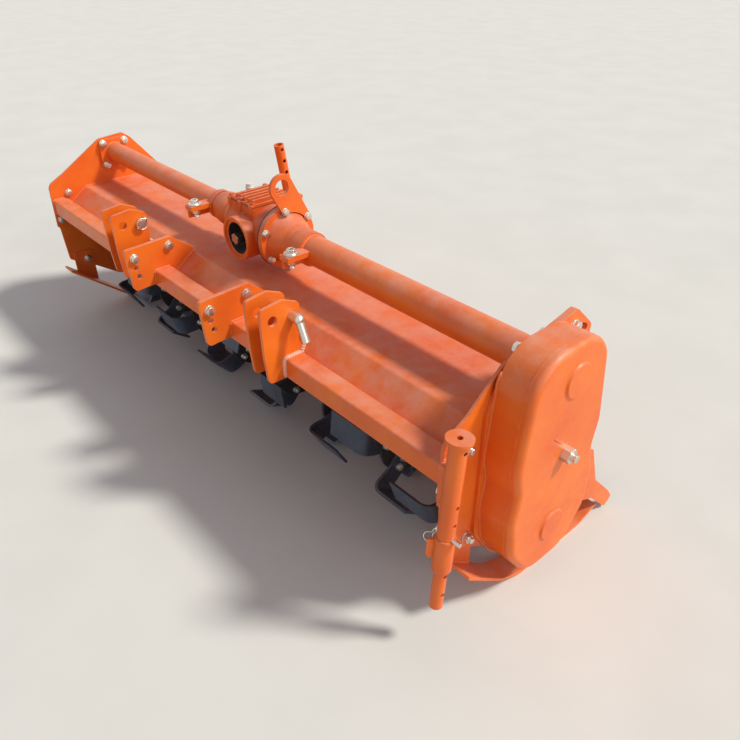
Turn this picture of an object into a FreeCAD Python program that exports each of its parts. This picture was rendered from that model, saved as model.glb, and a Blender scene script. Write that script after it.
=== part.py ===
import FreeCAD, Part
import math
import os
from FreeCAD import Vector

# Three-point rotavator with a side gear drive, in millimetres.
# While it is modelled, X runs across the machine with 0 at the hitch centre and + at the gear case,
# Y runs back from the tractor with 0 at the cross tube's axis, and Z is 0 on the floor.
# At the end everything is moved so that the origin is the bottom centre of the overall box.

# Gear axes over the floor, and the two outer faces
ROTOR_Z = 214.0
IDLER_OVER_ROTOR = 231.0
TUBE_OVER_IDLER = 200.0
LEFT_FACE_X = -1150.0
RIGHT_FACE_X = 1150.0

# Middle of the top hitch and of the input, a little left of the middle, and how low the input sits
HITCH_X = -36.0
INPUT_UNDER_TUBE = 15.0

# Side plates and what is bolted outside the right one
PLATE = 8.0
MOUNT_PLATE = 10.0
CASE_DEPTH = 72.0
COVER_DEPTH = 30.0
CASE_WALL = 9.0
COVER_EDGE_ROUND = 16.0

# Front beam, a square tube
BEAM_SIZE = 60.0
BEAM_WALL = 5.0
BEAM_FRONT_Y = -293.0
BEAM_TOP_UNDER_TUBE = 144.0
BEAM_CORNER = 7.0

# Cross tubes left and right of the gearbox
LEFT_TUBE_R = 38.0
RIGHT_TUBE_R = 44.5
TUBE_WALL = 6.0
TUBE_FLANGE = 12.0
TUBE_FLANGE_HALF = 62.0

# Hood sheet over the rotor
HOOD_SHEET = 4.0
HOOD_BEND = 12.0
HOOD_TOP_UNDER_TUBE = 116.0

# Gearbox
GEARBOX_LEFT_X = -140.0
GEARBOX_RIGHT_X = 70.0
GEARBOX_R = 80.0
GEARBOX_RIDGE_X = -49.0
RIDGE_FOOT = 12.0
RIDGE_TOP = 8.0
RIDGE_HEIGHT = 6.0
NOSE_FRONT_Y = -110.0
NOSE_R = 69.0
NOSE_STEP_R = 61.0
NOSE_STEP_DEPTH = 7.0
NOSE_BORE_R = 51.0
NOSE_BORE_DEPTH = 72.0
COVER_SEAT_OVER_TUBE = 84.0
COVER_LEFT_X = -128.0
COVER_RIGHT_X = 8.0
COVER_FRONT_Y = -66.0
COVER_REAR_Y = 78.0
COVER_T = 8.0
RIB_COUNT = 5
RIB_STEP = 22.0
RIB_T = 8.0
RIB_HEIGHT = 13.0
BEARING_FLANGE_R = 98.0
BEARING_FLANGE_T = 24.0
BELL_R = 80.0
NECK_R = 52.0
NECK_END_X = 222.0
LEFT_COLLAR_X = -300.0
LEFT_COLLAR_R = 50.0

# Input shaft, a splined 35 mm stub
SHAFT_R = 17.4
SPLINE_ROOT_R = 14.8
SPLINE_COUNT = 6
SPLINE_W = 8.6
SHAFT_FRONT_Y = -113.0
SHAFT_COLLAR_R = 25.0
SHAFT_COLLAR_T = 12.0

# Lever plate on the bearing flange
LEVER_T = 10.0
LEVER_EYE_R = 24.0

# Lower link clevises
CLEVIS_CENTRE_X = 425.0
CLEVIS_PLATE = 10.0
CLEVIS_GAP = 56.0
LINK_HOLE_R = 14.2
PIN_R = 14.0

# Mast lugs and the tube brackets
MAST_LUG_X = 230.0
MAST_LUG_T = 14.0
MAST_HOLE_R = 9.0
BRACKET_X = 272.0
BRACKET_W = 42.0
BRACKET_T = 16.0
BRACKET_TOP = 18.0
BRACKET_HOLE_Y = -92.0

# Skids
SKID_SHEET = 8.0
SKID_WIDTH = 70.0
SKID_LUG = 6.0

# Parking stand
STAND_GAP = 17.0
STAND_Y = -294.0
STAND_LEAN = 4.4
SLEEVE_R = 21.0
SLEEVE_WALL = 4.0
SOCKET_R = 24.0
LEG_R = 16.4
LEG_WALL = 4.0
LEG_LENGTH = 410.0
LEG_FOOT_Z = 122.0
LEG_HOLE_STEP = 59.0
STAND_TOP_UNDER_TUBE = 39.0
SLEEVE_LENGTH = 362.0

# Rotor
ROTOR_TUBE_R = 40.0
ROTOR_TUBE_WALL = 7.0
ROTOR_LEFT_X = -1112.0
ROTOR_RIGHT_X = 1000.0
STUB_R = 28.0
SHAFT_CLEARANCE = 0.1
DISC_R = 125.0
DISC_T = 10.0
DISC_COUNT = 8
DISC_STEP = 262.0
TINE_T = 8.0
TINE_REACH = 188.0
TINE_FOOT = 140.0
TINE_BEND_R = 22.0
TINE_ROOT = 40.0
TINES_EACH_SIDE = 3
DISC_STAGGER = 24.0

# Rear board, its hinges and its strut
HINGE_Y = 352.0
HINGE_UNDER_TUBE = 300.0
HINGE_ROD_R = 8.0
KNUCKLE_R = 14.0
KNUCKLE_LENGTH = 60.0
BOARD_SHEET = 5.0
BOARD_END_GAP = 40.0
STRUT_X = -440.0
STRUT_R = 19.0
STRUT_WALL = 4.0
STRUT_LENGTH = 572.0
STRUT_LEAN = 8.7
STRUT_HOLE_R = 7.0
SEAT_GAP = 0.3

# Heights and places that follow from the values above
TUBE_Z = ROTOR_Z + IDLER_OVER_ROTOR + TUBE_OVER_IDLER
IDLER_Z = ROTOR_Z + IDLER_OVER_ROTOR
INPUT_Z = TUBE_Z - INPUT_UNDER_TUBE
BEAM_TOP_Z = TUBE_Z - BEAM_TOP_UNDER_TUBE
BEAM_BOTTOM_Z = BEAM_TOP_Z - BEAM_SIZE
BEAM_REAR_Y = BEAM_FRONT_Y + BEAM_SIZE
LEFT_INSIDE_X = LEFT_FACE_X + PLATE
CASE_BACK_X = RIGHT_FACE_X - COVER_DEPTH - CASE_DEPTH
RIGHT_OUTSIDE_X = CASE_BACK_X - MOUNT_PLATE
RIGHT_INSIDE_X = RIGHT_OUTSIDE_X - PLATE
STAND_X = RIGHT_OUTSIDE_X + STAND_GAP + SLEEVE_R
HINGE_Z = TUBE_Z - HINGE_UNDER_TUBE

X_AXIS = Vector(1, 0, 0)
Y_AXIS = Vector(0, 1, 0)
Z_AXIS = Vector(0, 0, 1)


def block(x_from, x_to, y_from, y_to, z_from, z_to):
    corner = Vector(x_from, y_from, z_from)
    return Part.makeBox(x_to - x_from, y_to - y_from, z_to - z_from, corner)


def round_x(x_from, x_to, y, z, radius):
    return Part.makeCylinder(radius, x_to - x_from, Vector(x_from, y, z), X_AXIS)


def round_y(y_from, y_to, x, z, radius):
    return Part.makeCylinder(radius, y_to - y_from, Vector(x, y_from, z), Y_AXIS)


def round_z(z_from, z_to, x, y, radius):
    return Part.makeCylinder(radius, z_to - z_from, Vector(x, y, z_from), Z_AXIS)


def joined(shapes):
    return shapes[0].fuse(shapes[1:]).removeSplitter()


def rounded_wire(corners, place):
    """Closed outline with tangent arcs. Each corner is (a, b, radius); place(a, b) puts it in space."""
    edges = []
    last_end = None
    first_start = None
    for index, (a, b, radius) in enumerate(corners):
        here = Vector(a, b, 0)
        before = Vector(corners[index - 1][0], corners[index - 1][1], 0)
        after_corner = corners[(index + 1) % len(corners)]
        after = Vector(after_corner[0], after_corner[1], 0)
        to_before = (before - here).normalize()
        to_after = (after - here).normalize()
        half = to_before.getAngle(to_after) / 2
        setback = radius / math.tan(half)
        start = here + to_before * setback
        end = here + to_after * setback
        if last_end is not None:
            edges.append(Part.LineSegment(place(last_end.x, last_end.y), place(start.x, start.y)))
        else:
            first_start = start
        if radius > 0:
            middle = here + (to_before + to_after).normalize() * (radius / math.sin(half) - radius)
            arc_points = [place(p.x, p.y) for p in (start, middle, end)]
            edges.append(Part.Arc(arc_points[0], arc_points[1], arc_points[2]))
        last_end = end
    edges.append(Part.LineSegment(place(last_end.x, last_end.y), place(first_start.x, first_start.y)))
    return Part.Wire([edge.toShape() for edge in edges])


def hull_wire(circles, place):
    """Outline round circles (a, b, radius), listed anticlockwise, with straight tangents between them."""
    starts = []
    ends = []
    for index, (a, b, radius) in enumerate(circles):
        next_a, next_b, next_radius = circles[(index + 1) % len(circles)]
        gap = math.hypot(next_a - a, next_b - b)
        along_a = (next_a - a) / gap
        along_b = (next_b - b) / gap
        share = (radius - next_radius) / gap
        side = math.sqrt(1 - share * share)
        out_a = share * along_a + side * along_b
        out_b = share * along_b - side * along_a
        ends.append((a + radius * out_a, b + radius * out_b, math.atan2(out_b, out_a)))
        starts.append((next_a + next_radius * out_a, next_b + next_radius * out_b, math.atan2(out_b, out_a)))
    edges = []
    for index, (a, b, radius) in enumerate(circles):
        start = starts[index - 1]
        end = ends[index]
        turn = (end[2] - start[2]) % (2 * math.pi)
        middle = start[2] + turn / 2
        top = place(a + radius * math.cos(middle), b + radius * math.sin(middle))
        edges.append(Part.Arc(place(start[0], start[1]), top, place(end[0], end[1])))
        edges.append(Part.LineSegment(place(end[0], end[1]), place(starts[index][0], starts[index][1])))
    return Part.Wire([edge.toShape() for edge in edges])


def sheet_corners(points, thickness, inside_radius):
    """Outline of a sheet bent along points (a, b). The sheet's thickness lies left of the way they run."""
    base = []
    offset = []
    for index, (a, b) in enumerate(points):
        ways = []
        if index > 0:
            ways.append(Vector(a - points[index - 1][0], b - points[index - 1][1], 0).normalize())
        if index < len(points) - 1:
            ways.append(Vector(points[index + 1][0] - a, points[index + 1][1] - b, 0).normalize())
        normals = [Vector(-way.y, way.x, 0) for way in ways]
        base_radius = 0
        offset_radius = 0
        shift = normals[0] * thickness
        if len(ways) == 2:
            shift = (normals[0] + normals[1]) * (thickness / (1 + normals[0].dot(normals[1])))
            turns_left = ways[0].cross(ways[1]).z > 0
            base_radius = inside_radius + thickness if turns_left else inside_radius
            offset_radius = inside_radius if turns_left else inside_radius + thickness
        base.append((a, b, base_radius))
        offset.append((a + shift.x, b + shift.y, offset_radius))
    return base + offset[::-1]


def plate_x(wire_maker, outline, x_from, x_to):
    """A flat plate across X from an outline of (y, z, radius)."""
    wire = wire_maker(outline, lambda y, z: Vector(x_from, y, z))
    return Part.Face(wire).extrude(Vector(x_to - x_from, 0, 0))


def over_tube(outline):
    """Outline rows measured from the cross tube's axis, put at their height over the floor."""
    return [(row[0], TUBE_Z + row[1]) + tuple(row[2:]) for row in outline]


def turned_x(profile):
    """Body of revolution about the cross tube's axis from rows of (x, radius)."""
    points = [Vector(profile[0][0], 0, TUBE_Z)]
    points += [Vector(x, 0, TUBE_Z + radius) for x, radius in profile]
    points += [Vector(profile[-1][0], 0, TUBE_Z), points[0]]
    face = Part.Face(Part.makePolygon(points))
    return face.revolve(Vector(0, 0, TUBE_Z), X_AXIS, 360)


# Outlines of the two side plates: y, height from the cross tube's axis, corner radius
SIDE_PLATE_LOWER = [
    (-300, -255, 6),
    (-292, -262, 4),
    (-284, -406, 12),
    (-184, -464, 30),
    (-84, -532, 50),
    (110, -532, 60),
    (330, -452, 30),
    (346, -300, 24),
    (182, -82, 60),
]
LEFT_PLATE_UPPER = [(78, 46, 16), (48, 68, 12), (-56, 60, 30), (-228, -46, 60), (-296, -82, 34)]
RIGHT_PLATE_UPPER = [(186, 30, 20), (116, 94, 14), (-122, 42, 40), (-228, -46, 60), (-296, -82, 34)]


def left_side_plate():
    outline = over_tube(LEFT_PLATE_UPPER + SIDE_PLATE_LOWER)
    plate = plate_x(rounded_wire, outline, LEFT_FACE_X, LEFT_INSIDE_X)
    bore = round_x(LEFT_FACE_X - 1, LEFT_INSIDE_X + 1, 0, ROTOR_Z, BEARING_SEAT_R)
    return plate.cut(bore)


def right_side_plate():
    outline = over_tube(RIGHT_PLATE_UPPER + SIDE_PLATE_LOWER)
    plate = plate_x(rounded_wire, outline, RIGHT_INSIDE_X, RIGHT_OUTSIDE_X)
    bore = round_x(RIGHT_INSIDE_X - 1, RIGHT_OUTSIDE_X + 1, 0, ROTOR_Z, BEARING_SEAT_R)
    return plate.cut([bore, adjusting_slot(RIGHT_INSIDE_X - 1, RIGHT_OUTSIDE_X + 1)])


# Curved slot near the top rear corner of the two plates that carry the gear case
SLOT_CIRCLES = [(104, 54, 11), (158, 29, 11)]
BEARING_SEAT_R = 46.0
BEARING_T = 20.0


def adjusting_slot(x_from, x_to):
    return plate_x(hull_wire, over_tube(SLOT_CIRCLES), x_from, x_to)


# Mounting plate below the top edge that it shares with the right side plate
MOUNT_PLATE_LOWER = [(-176, -60, 40), (-178, -420, 80), (-84, -563, 90), (84, -563, 90), (176, -420, 80)]


def case_mount_plate():
    outline = over_tube(RIGHT_PLATE_UPPER[:3] + MOUNT_PLATE_LOWER)
    plate = plate_x(rounded_wire, outline, RIGHT_OUTSIDE_X, CASE_BACK_X)
    bore = round_x(RIGHT_OUTSIDE_X - 1, CASE_BACK_X + 1, 0, ROTOR_Z, STUB_R + 2)
    return plate.cut([bore, adjusting_slot(RIGHT_OUTSIDE_X - 1, CASE_BACK_X + 1)])


# Gear case outline: y, height from the cross tube's axis, corner radius
CASE_OUTLINE = [
    (104, 92, 96),
    (-146, 92, 104),
    (-172, -182, 120),
    (-155, -246, 50),
    (-168, -330, 110),
    (-150, -450, 100),
    (-76, -556, 90),
    (76, -556, 90),
    (154, -450, 100),
    (152, -330, 110),
    (132, -246, 50),
    (144, -170, 120),
]


def case_solid(x_from, x_to):
    return plate_x(rounded_wire, over_tube(CASE_OUTLINE), x_from, x_to)


def gear_case():
    shell = case_solid(CASE_BACK_X, CASE_BACK_X + CASE_DEPTH)
    inner = plate_x(rounded_wire, over_tube(shrunk(CASE_OUTLINE, CASE_WALL)),
                    CASE_BACK_X + CASE_WALL, CASE_BACK_X + CASE_DEPTH)
    bore = round_x(CASE_BACK_X - 1, CASE_BACK_X + CASE_WALL + 1, 0, ROTOR_Z, STUB_R + 2)
    return shell.cut([inner, bore])


def shrunk(outline, by):
    """The same outline moved inwards by a wall, from its middle height and side."""
    middle_y = (min(row[0] for row in outline) + max(row[0] for row in outline)) / 2
    middle_z = (min(row[1] for row in outline) + max(row[1] for row in outline)) / 2
    half_y = (max(row[0] for row in outline) - min(row[0] for row in outline)) / 2
    half_z = (max(row[1] for row in outline) - min(row[1] for row in outline)) / 2
    scale_y = (half_y - by) / half_y
    scale_z = (half_z - by) / half_z
    return [(middle_y + (y - middle_y) * scale_y, middle_z + (z - middle_z) * scale_z, radius * scale_z)
            for y, z, radius in outline]


BOSS_R = 46.0
BOSS_HEIGHT = 5.0


def gear_case_cover():
    cover = case_solid(RIGHT_FACE_X - COVER_DEPTH, RIGHT_FACE_X - BOSS_HEIGHT)
    outer_edges = [edge for edge in cover.Edges
                   if abs(edge.CenterOfMass.x - (RIGHT_FACE_X - BOSS_HEIGHT)) < 0.01]
    cover = cover.makeFillet(COVER_EDGE_ROUND, outer_edges)
    bosses = []
    for z in (TUBE_Z, ROTOR_Z):
        foot = Vector(RIGHT_FACE_X - BOSS_HEIGHT - 1, 0, z)
        bosses.append(Part.makeCone(BOSS_R, BOSS_R - BOSS_HEIGHT, BOSS_HEIGHT + 1, foot, X_AXIS))
    return joined([cover] + bosses)


NUT_R = 20.0
NUT_HEIGHT = 22.0
STUD_R = 10.0
STUD_LENGTH = 34.0


def idler_nut():
    """Hexagon nut on the end of the idler's stud, outside the cover."""
    face_x = RIGHT_FACE_X - BOSS_HEIGHT
    corners = []
    for index in range(6):
        angle = math.radians(60 * index)
        corners.append(Vector(face_x, NUT_R * math.cos(angle), IDLER_Z + NUT_R * math.sin(angle)))
    nut = Part.Face(Part.makePolygon(corners + corners[:1])).extrude(Vector(NUT_HEIGHT, 0, 0))
    return joined([nut, round_x(face_x, face_x + STUD_LENGTH, 0, IDLER_Z, STUD_R)])


def front_beam():
    rows = [
        (BEAM_FRONT_Y, BEAM_TOP_Z, BEAM_CORNER),
        (BEAM_REAR_Y, BEAM_TOP_Z, BEAM_CORNER),
        (BEAM_REAR_Y, BEAM_BOTTOM_Z, BEAM_CORNER),
        (BEAM_FRONT_Y, BEAM_BOTTOM_Z, BEAM_CORNER),
    ]
    outer = plate_x(rounded_wire, rows, LEFT_INSIDE_X, RIGHT_INSIDE_X)
    inner = block(LEFT_INSIDE_X - 1, RIGHT_INSIDE_X + 1,
                  BEAM_FRONT_Y + BEAM_WALL, BEAM_REAR_Y - BEAM_WALL,
                  BEAM_BOTTOM_Z + BEAM_WALL, BEAM_TOP_Z - BEAM_WALL)
    return outer.cut(inner)


# Hood line, from the rear edge to the front beam: y, height from the cross tube's axis
HOOD_REAR_Y = 336.0
HOOD_FOLD_Y = 176.0
HOOD_REAR_UNDER_TUBE = 288.0
HOOD_FRONT_UNDER_TUBE = 178.0
HOOD_LINE = [
    (HOOD_REAR_Y, -HOOD_REAR_UNDER_TUBE),
    (HOOD_FOLD_Y, -HOOD_TOP_UNDER_TUBE),
    (-150, -HOOD_TOP_UNDER_TUBE),
    (BEAM_REAR_Y, -HOOD_FRONT_UNDER_TUBE),
]


def hood():
    corners = sheet_corners(over_tube(HOOD_LINE), HOOD_SHEET, HOOD_BEND)
    return plate_x(rounded_wire, corners, LEFT_INSIDE_X, RIGHT_INSIDE_X)


def tube_flange(plate_x_from, plate_x_to):
    half = TUBE_FLANGE_HALF
    corners = [(half, TUBE_Z + half * 0.9, 14), (-half, TUBE_Z + half * 0.9, 14),
               (-half, TUBE_Z - half, 14), (half, TUBE_Z - half, 14)]
    return plate_x(rounded_wire, corners, plate_x_from, plate_x_to)


def left_tube():
    start = LEFT_INSIDE_X
    outer = round_x(start + TUBE_FLANGE, LEFT_COLLAR_X, 0, TUBE_Z, LEFT_TUBE_R)
    body = joined([outer, tube_flange(start, start + TUBE_FLANGE)])
    return body.cut(round_x(start - 1, LEFT_COLLAR_X + 1, 0, TUBE_Z, LEFT_TUBE_R - TUBE_WALL))


def right_tube():
    end = RIGHT_INSIDE_X
    outer = round_x(NECK_END_X, end - TUBE_FLANGE, 0, TUBE_Z, RIGHT_TUBE_R)
    body = joined([outer, tube_flange(end - TUBE_FLANGE, end)])
    return body.cut(round_x(NECK_END_X - 1, end + 1, 0, TUBE_Z, RIGHT_TUBE_R - TUBE_WALL))


def cover_block(z_from, z_to):
    return block(COVER_LEFT_X, COVER_RIGHT_X, COVER_FRONT_Y, COVER_REAR_Y, z_from, z_to)


def gearbox_housing():
    barrel = turned_x([
        (GEARBOX_LEFT_X, GEARBOX_R - 10),
        (GEARBOX_LEFT_X + 12, GEARBOX_R),
        (GEARBOX_RIDGE_X - RIDGE_FOOT, GEARBOX_R),
        (GEARBOX_RIDGE_X - RIDGE_TOP, GEARBOX_R + RIDGE_HEIGHT),
        (GEARBOX_RIDGE_X + RIDGE_TOP, GEARBOX_R + RIDGE_HEIGHT),
        (GEARBOX_RIDGE_X + RIDGE_FOOT, GEARBOX_R),
        (GEARBOX_RIGHT_X - 16, GEARBOX_R),
        (GEARBOX_RIGHT_X - 10, BEARING_FLANGE_R - 5),
        (GEARBOX_RIGHT_X, BEARING_FLANGE_R - 5),
    ])
    seat = TUBE_Z + COVER_SEAT_OVER_TUBE
    top = cover_block(TUBE_Z, seat)
    over_seat = cover_block(seat, seat + COVER_T)
    nose = round_y(NOSE_FRONT_Y, 0, HITCH_X, INPUT_Z, NOSE_R)
    body = joined([barrel, top, nose])
    step = round_y(NOSE_FRONT_Y - 1, NOSE_FRONT_Y + NOSE_STEP_DEPTH, HITCH_X, INPUT_Z, NOSE_STEP_R)
    bore = round_y(NOSE_FRONT_Y - 1, NOSE_FRONT_Y + NOSE_BORE_DEPTH, HITCH_X, INPUT_Z, NOSE_BORE_R)
    return body.cut([step, bore, over_seat])


def gearbox_cover():
    seat = TUBE_Z + COVER_SEAT_OVER_TUBE
    plate = cover_block(seat, seat + COVER_T)
    ribs = []
    for index in range(RIB_COUNT):
        x = COVER_RIGHT_X - RIB_STEP * (index + 0.6)
        ribs.append(block(x, x + RIB_T, COVER_FRONT_Y + 8, COVER_REAR_Y - 8,
                          seat + COVER_T, seat + COVER_T + RIB_HEIGHT))
    return joined([plate] + ribs)


def breather():
    seat = TUBE_Z + COVER_SEAT_OVER_TUBE + COVER_T
    x = COVER_LEFT_X + 13
    stem = round_z(seat, seat + 10, x, 8, 7)
    cap = round_z(seat + 8, seat + 24, x, 8, 11)
    return joined([stem, cap])


def right_bearing_housing():
    face = GEARBOX_RIGHT_X
    return turned_x([
        (face, BEARING_FLANGE_R),
        (face + BEARING_FLANGE_T, BEARING_FLANGE_R),
        (face + BEARING_FLANGE_T, BELL_R),
        (face + BEARING_FLANGE_T + 22, BELL_R - 12),
        (face + BEARING_FLANGE_T + 48, NECK_R + 4),
        (face + BEARING_FLANGE_T + 70, NECK_R),
        (NECK_END_X, NECK_R),
    ])


def left_bearing_housing():
    face = GEARBOX_LEFT_X
    return turned_x([
        (LEFT_COLLAR_X, LEFT_COLLAR_R),
        (LEFT_COLLAR_X + 22, LEFT_COLLAR_R),
        (LEFT_COLLAR_X + 22, 45),
        (face - 124, 51),
        (face - 106, 55),
        (face - 84, 57),
        (face - 64, 55),
        (face - 48, 50),
        (face - 36, 46),
        (face - 36, 61),
        (face - 12, 66),
        (face - 10, 60),
        (face, 60),
    ])


# Lever plate corners, anticlockwise: y, height from the cross tube's axis, radius round each centre
LEVER_CIRCLES = [(-17, 161, 40), (2, 84, 20), (64, 50, 18)]


def lever_plate():
    x_from = GEARBOX_RIGHT_X + BEARING_FLANGE_T
    plate = plate_x(hull_wire, over_tube(LEVER_CIRCLES), x_from, x_from + LEVER_T)
    eye = round_x(x_from - 1, x_from + LEVER_T + 1, LEVER_CIRCLES[0][0], TUBE_Z + LEVER_CIRCLES[0][1], LEVER_EYE_R)
    neck = round_x(x_from - 1, x_from + LEVER_T + 1, 0, TUBE_Z, BELL_R + 0.5)
    return plate.cut([eye, neck])


def input_shaft():
    rear = NOSE_FRONT_Y + NOSE_BORE_DEPTH - 0.5
    core = round_y(SHAFT_FRONT_Y, rear, HITCH_X, INPUT_Z, SPLINE_ROOT_R)
    parts = [core]
    for index in range(SPLINE_COUNT // 2):
        bar = block(HITCH_X - SPLINE_W / 2, HITCH_X + SPLINE_W / 2, SHAFT_FRONT_Y, rear,
                    INPUT_Z - SHAFT_R, INPUT_Z + SHAFT_R)
        bar.rotate(Vector(HITCH_X, 0, INPUT_Z), Y_AXIS, 360 / SPLINE_COUNT * index)
        parts.append(bar)
    parts.append(round_y(rear - SHAFT_COLLAR_T, rear, HITCH_X, INPUT_Z, SHAFT_COLLAR_R))
    return joined(parts)


# Clevis plate beside the beam: y, height from the cross tube's axis, corner radius
LINK_HOLE = (-319, -22)
PIN_HOLE = (-259, -26)


def clevis_outline():
    return over_tube([
        (-355, 18, 12),
        (-284, 26, 12),
        (-233, 4, 14),
        (-236, -82, 8),
        (-220, -112, 10),
        (BEAM_REAR_Y, -BEAM_TOP_UNDER_TUBE, 0),
        (BEAM_FRONT_Y, -BEAM_TOP_UNDER_TUBE, 0),
        (BEAM_FRONT_Y, -BEAM_TOP_UNDER_TUBE - BEAM_SIZE, 0),
        (-344, -BEAM_TOP_UNDER_TUBE - BEAM_SIZE, 14),
        (-352, -120, 20),
    ])


def link_clevis(side):
    plates = []
    for edge in (-1, 1):
        inner = side * CLEVIS_CENTRE_X + edge * CLEVIS_GAP / 2
        outer = inner + edge * CLEVIS_PLATE
        x_from, x_to = min(inner, outer), max(inner, outer)
        plate = plate_x(rounded_wire, clevis_outline(), x_from, x_to)
        holes = [round_x(x_from - 1, x_to + 1, LINK_HOLE[0], TUBE_Z + LINK_HOLE[1], LINK_HOLE_R),
                 round_x(x_from - 1, x_to + 1, PIN_HOLE[0], TUBE_Z + PIN_HOLE[1], LINK_HOLE_R)]
        plates.append(plate.cut(holes))
    return Part.makeCompound(plates)


PIN_TIP = 16.0
PIN_NECK = 30.0
PIN_HANDLE = 62.0


def hitch_pin(side):
    """Stored pin, with its bent handle on the outer side of the clevis."""
    half = CLEVIS_GAP / 2 + CLEVIS_PLATE
    inner = side * (CLEVIS_CENTRE_X - half - PIN_TIP)
    outer = side * (CLEVIS_CENTRE_X + half + PIN_NECK)
    z = TUBE_Z + PIN_HOLE[1]
    y = PIN_HOLE[0]
    shank = round_x(min(inner, outer), max(inner, outer), y, z, PIN_R)
    elbow = Part.makeSphere(PIN_R, Vector(outer, y, z))
    way = Vector(side * 0.43, 0, -0.9)
    handle = Part.makeCylinder(PIN_R * 0.8, PIN_HANDLE, Vector(outer, y, z), way)
    return joined([shank, elbow, handle])


# Mast lug, with a gusset at its rear that comes down on the hood
MAST_HOLES = [(-354, -117), (-347, -148)]


def mast_lug_outline():
    return over_tube([
        (-384, -52, 10),
        (-222, -44, 14),
        (-146, -104, 6),
        (-146, -HOOD_TOP_UNDER_TUBE, 0),
        (-150, -HOOD_TOP_UNDER_TUBE, 0),
        (BEAM_REAR_Y, -HOOD_FRONT_UNDER_TUBE, 0),
        (BEAM_REAR_Y, -BEAM_TOP_UNDER_TUBE, 0),
        (BEAM_FRONT_Y, -BEAM_TOP_UNDER_TUBE, 0),
        (BEAM_FRONT_Y, -BEAM_TOP_UNDER_TUBE - BEAM_SIZE + 12, 0),
        (-328, -192, 10),
        (-372, -196, 14),
    ])


def mast_lug(side):
    x_from = HITCH_X + side * MAST_LUG_X - MAST_LUG_T / 2
    x_to = x_from + MAST_LUG_T
    plate = plate_x(rounded_wire, mast_lug_outline(), x_from, x_to)
    return plate.cut([round_x(x_from - 1, x_to + 1, y, TUBE_Z + z, MAST_HOLE_R) for y, z in MAST_HOLES])


def tube_bracket(side, tube_r, housing):
    """Lug with a vertical bolt hole on the front of the cross tube and of the housing beside it."""
    half = BRACKET_W / 2
    x = HITCH_X + side * BRACKET_X
    lug_top = TUBE_Z + BRACKET_TOP
    lug_bottom = lug_top - BRACKET_T
    lug = block(x - half, x + half, BRACKET_HOLE_Y - 26, -tube_r * 0.6, lug_bottom, lug_top)
    cheek = block(x - half, x - half + 8, BRACKET_HOLE_Y - 20, -tube_r * 0.6, lug_bottom - 30, lug_bottom)
    body = joined([lug, cheek])
    tube = round_x(x - half - 1, x + half + 1, 0, TUBE_Z, tube_r)
    bolt_hole = round_z(lug_bottom - 1, lug_top + 1, x, BRACKET_HOLE_Y, MAST_HOLE_R)
    return body.cut([tube, housing, bolt_hole])


# Skid line on the floor side, behind its front tip: y, height over the floor
SKID_LINE = [(-100, 36), (-20, 0), (250, 0), (330, 26)]
LEFT_SKID_TIP = (-315, 212)
RIGHT_SKID_TIP = (-240, 151)
SKID_BEND = 60.0
RIGHT_SKID_X = RIGHT_INSIDE_X - SKID_LUG

# Lugs from the skids up to the side plates: front and rear y, top height over the floor
LEFT_SKID_LUGS = [(-268, -188, 262), (150, 232, 200)]
RIGHT_SKID_LUGS = [(-232, -160, 262), (150, 232, 200)]


def skid_height(y, tip):
    """Height of the skid's middle line over the floor at y."""
    line = [tip] + SKID_LINE
    for front, rear in zip(line, line[1:]):
        if front[0] <= y <= rear[0]:
            share = (y - front[0]) / (rear[0] - front[0])
            return front[1] + share * (rear[1] - front[1]) + SKID_SHEET / 2
    return SKID_SHEET / 2


def skid(tip, lugs, inner_x):
    corners = sheet_corners([tip] + SKID_LINE, SKID_SHEET, SKID_BEND)
    shapes = [plate_x(rounded_wire, corners, inner_x, inner_x + SKID_WIDTH)]
    for front, rear, top in lugs:
        rows = [(front, top, 12), (front, skid_height(front, tip), 0),
                (rear, skid_height(rear, tip), 0), (rear, top, 12)]
        shapes.append(plate_x(rounded_wire, rows, inner_x, inner_x + SKID_LUG))
    return joined(shapes)


def skid_stay():
    """Hooked plate on the gear case's rear wall, down to the skid's rear end."""
    rows = over_tube([
        (120, -338, 10), (224, -340, 14), (276, -481, 40), (372, -582, 20), (396, -618, 12),
        (366, -640, 12), (275, -549, 40), (120, -480, 10)])
    x_from = RIGHT_SKID_X + SKID_WIDTH + SEAT_GAP
    plate = plate_x(rounded_wire, rows, x_from, x_from + PLATE)
    case = plate_x(rounded_wire, over_tube(shrunk(CASE_OUTLINE, -SEAT_GAP)), x_from - 1, x_from + PLATE + 1)
    return plate.cut(case)


SLEEVE_TOP_Z = TUBE_Z - STAND_TOP_UNDER_TUBE
SLEEVE_BOTTOM_Z = SLEEVE_TOP_Z - SLEEVE_LENGTH
DISC_TOP_T = 8.0
DISC_LIP = 10.0
DISC_HOLE_R = 7.0
PAD_FRONT = 16.0
PAD_REAR = 14.0
PAD_OVER = 20.0
SOCKET_LENGTH = 93.0
STAND_PIN_R = 5.5
STAND_PIN_NEAR = 7.0
STAND_PIN_FAR = 22.0
STAND_HOLE_R = 6.0
STAND_PIN_Z = SLEEVE_BOTTOM_Z + SOCKET_LENGTH + STAND_PIN_R
SLEEVE_HOLES = [30.0, 174.0, 224.0]
LEG_FIRST_HOLE = 44.0
LEG_HOLES = 3


def leaned(shape):
    """Turned about the sleeve's top, so that the stand's foot comes forward."""
    turned = shape.copy()
    turned.rotate(Vector(STAND_X, STAND_Y, SLEEVE_TOP_Z), X_AXIS, -STAND_LEAN)
    return turned


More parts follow.
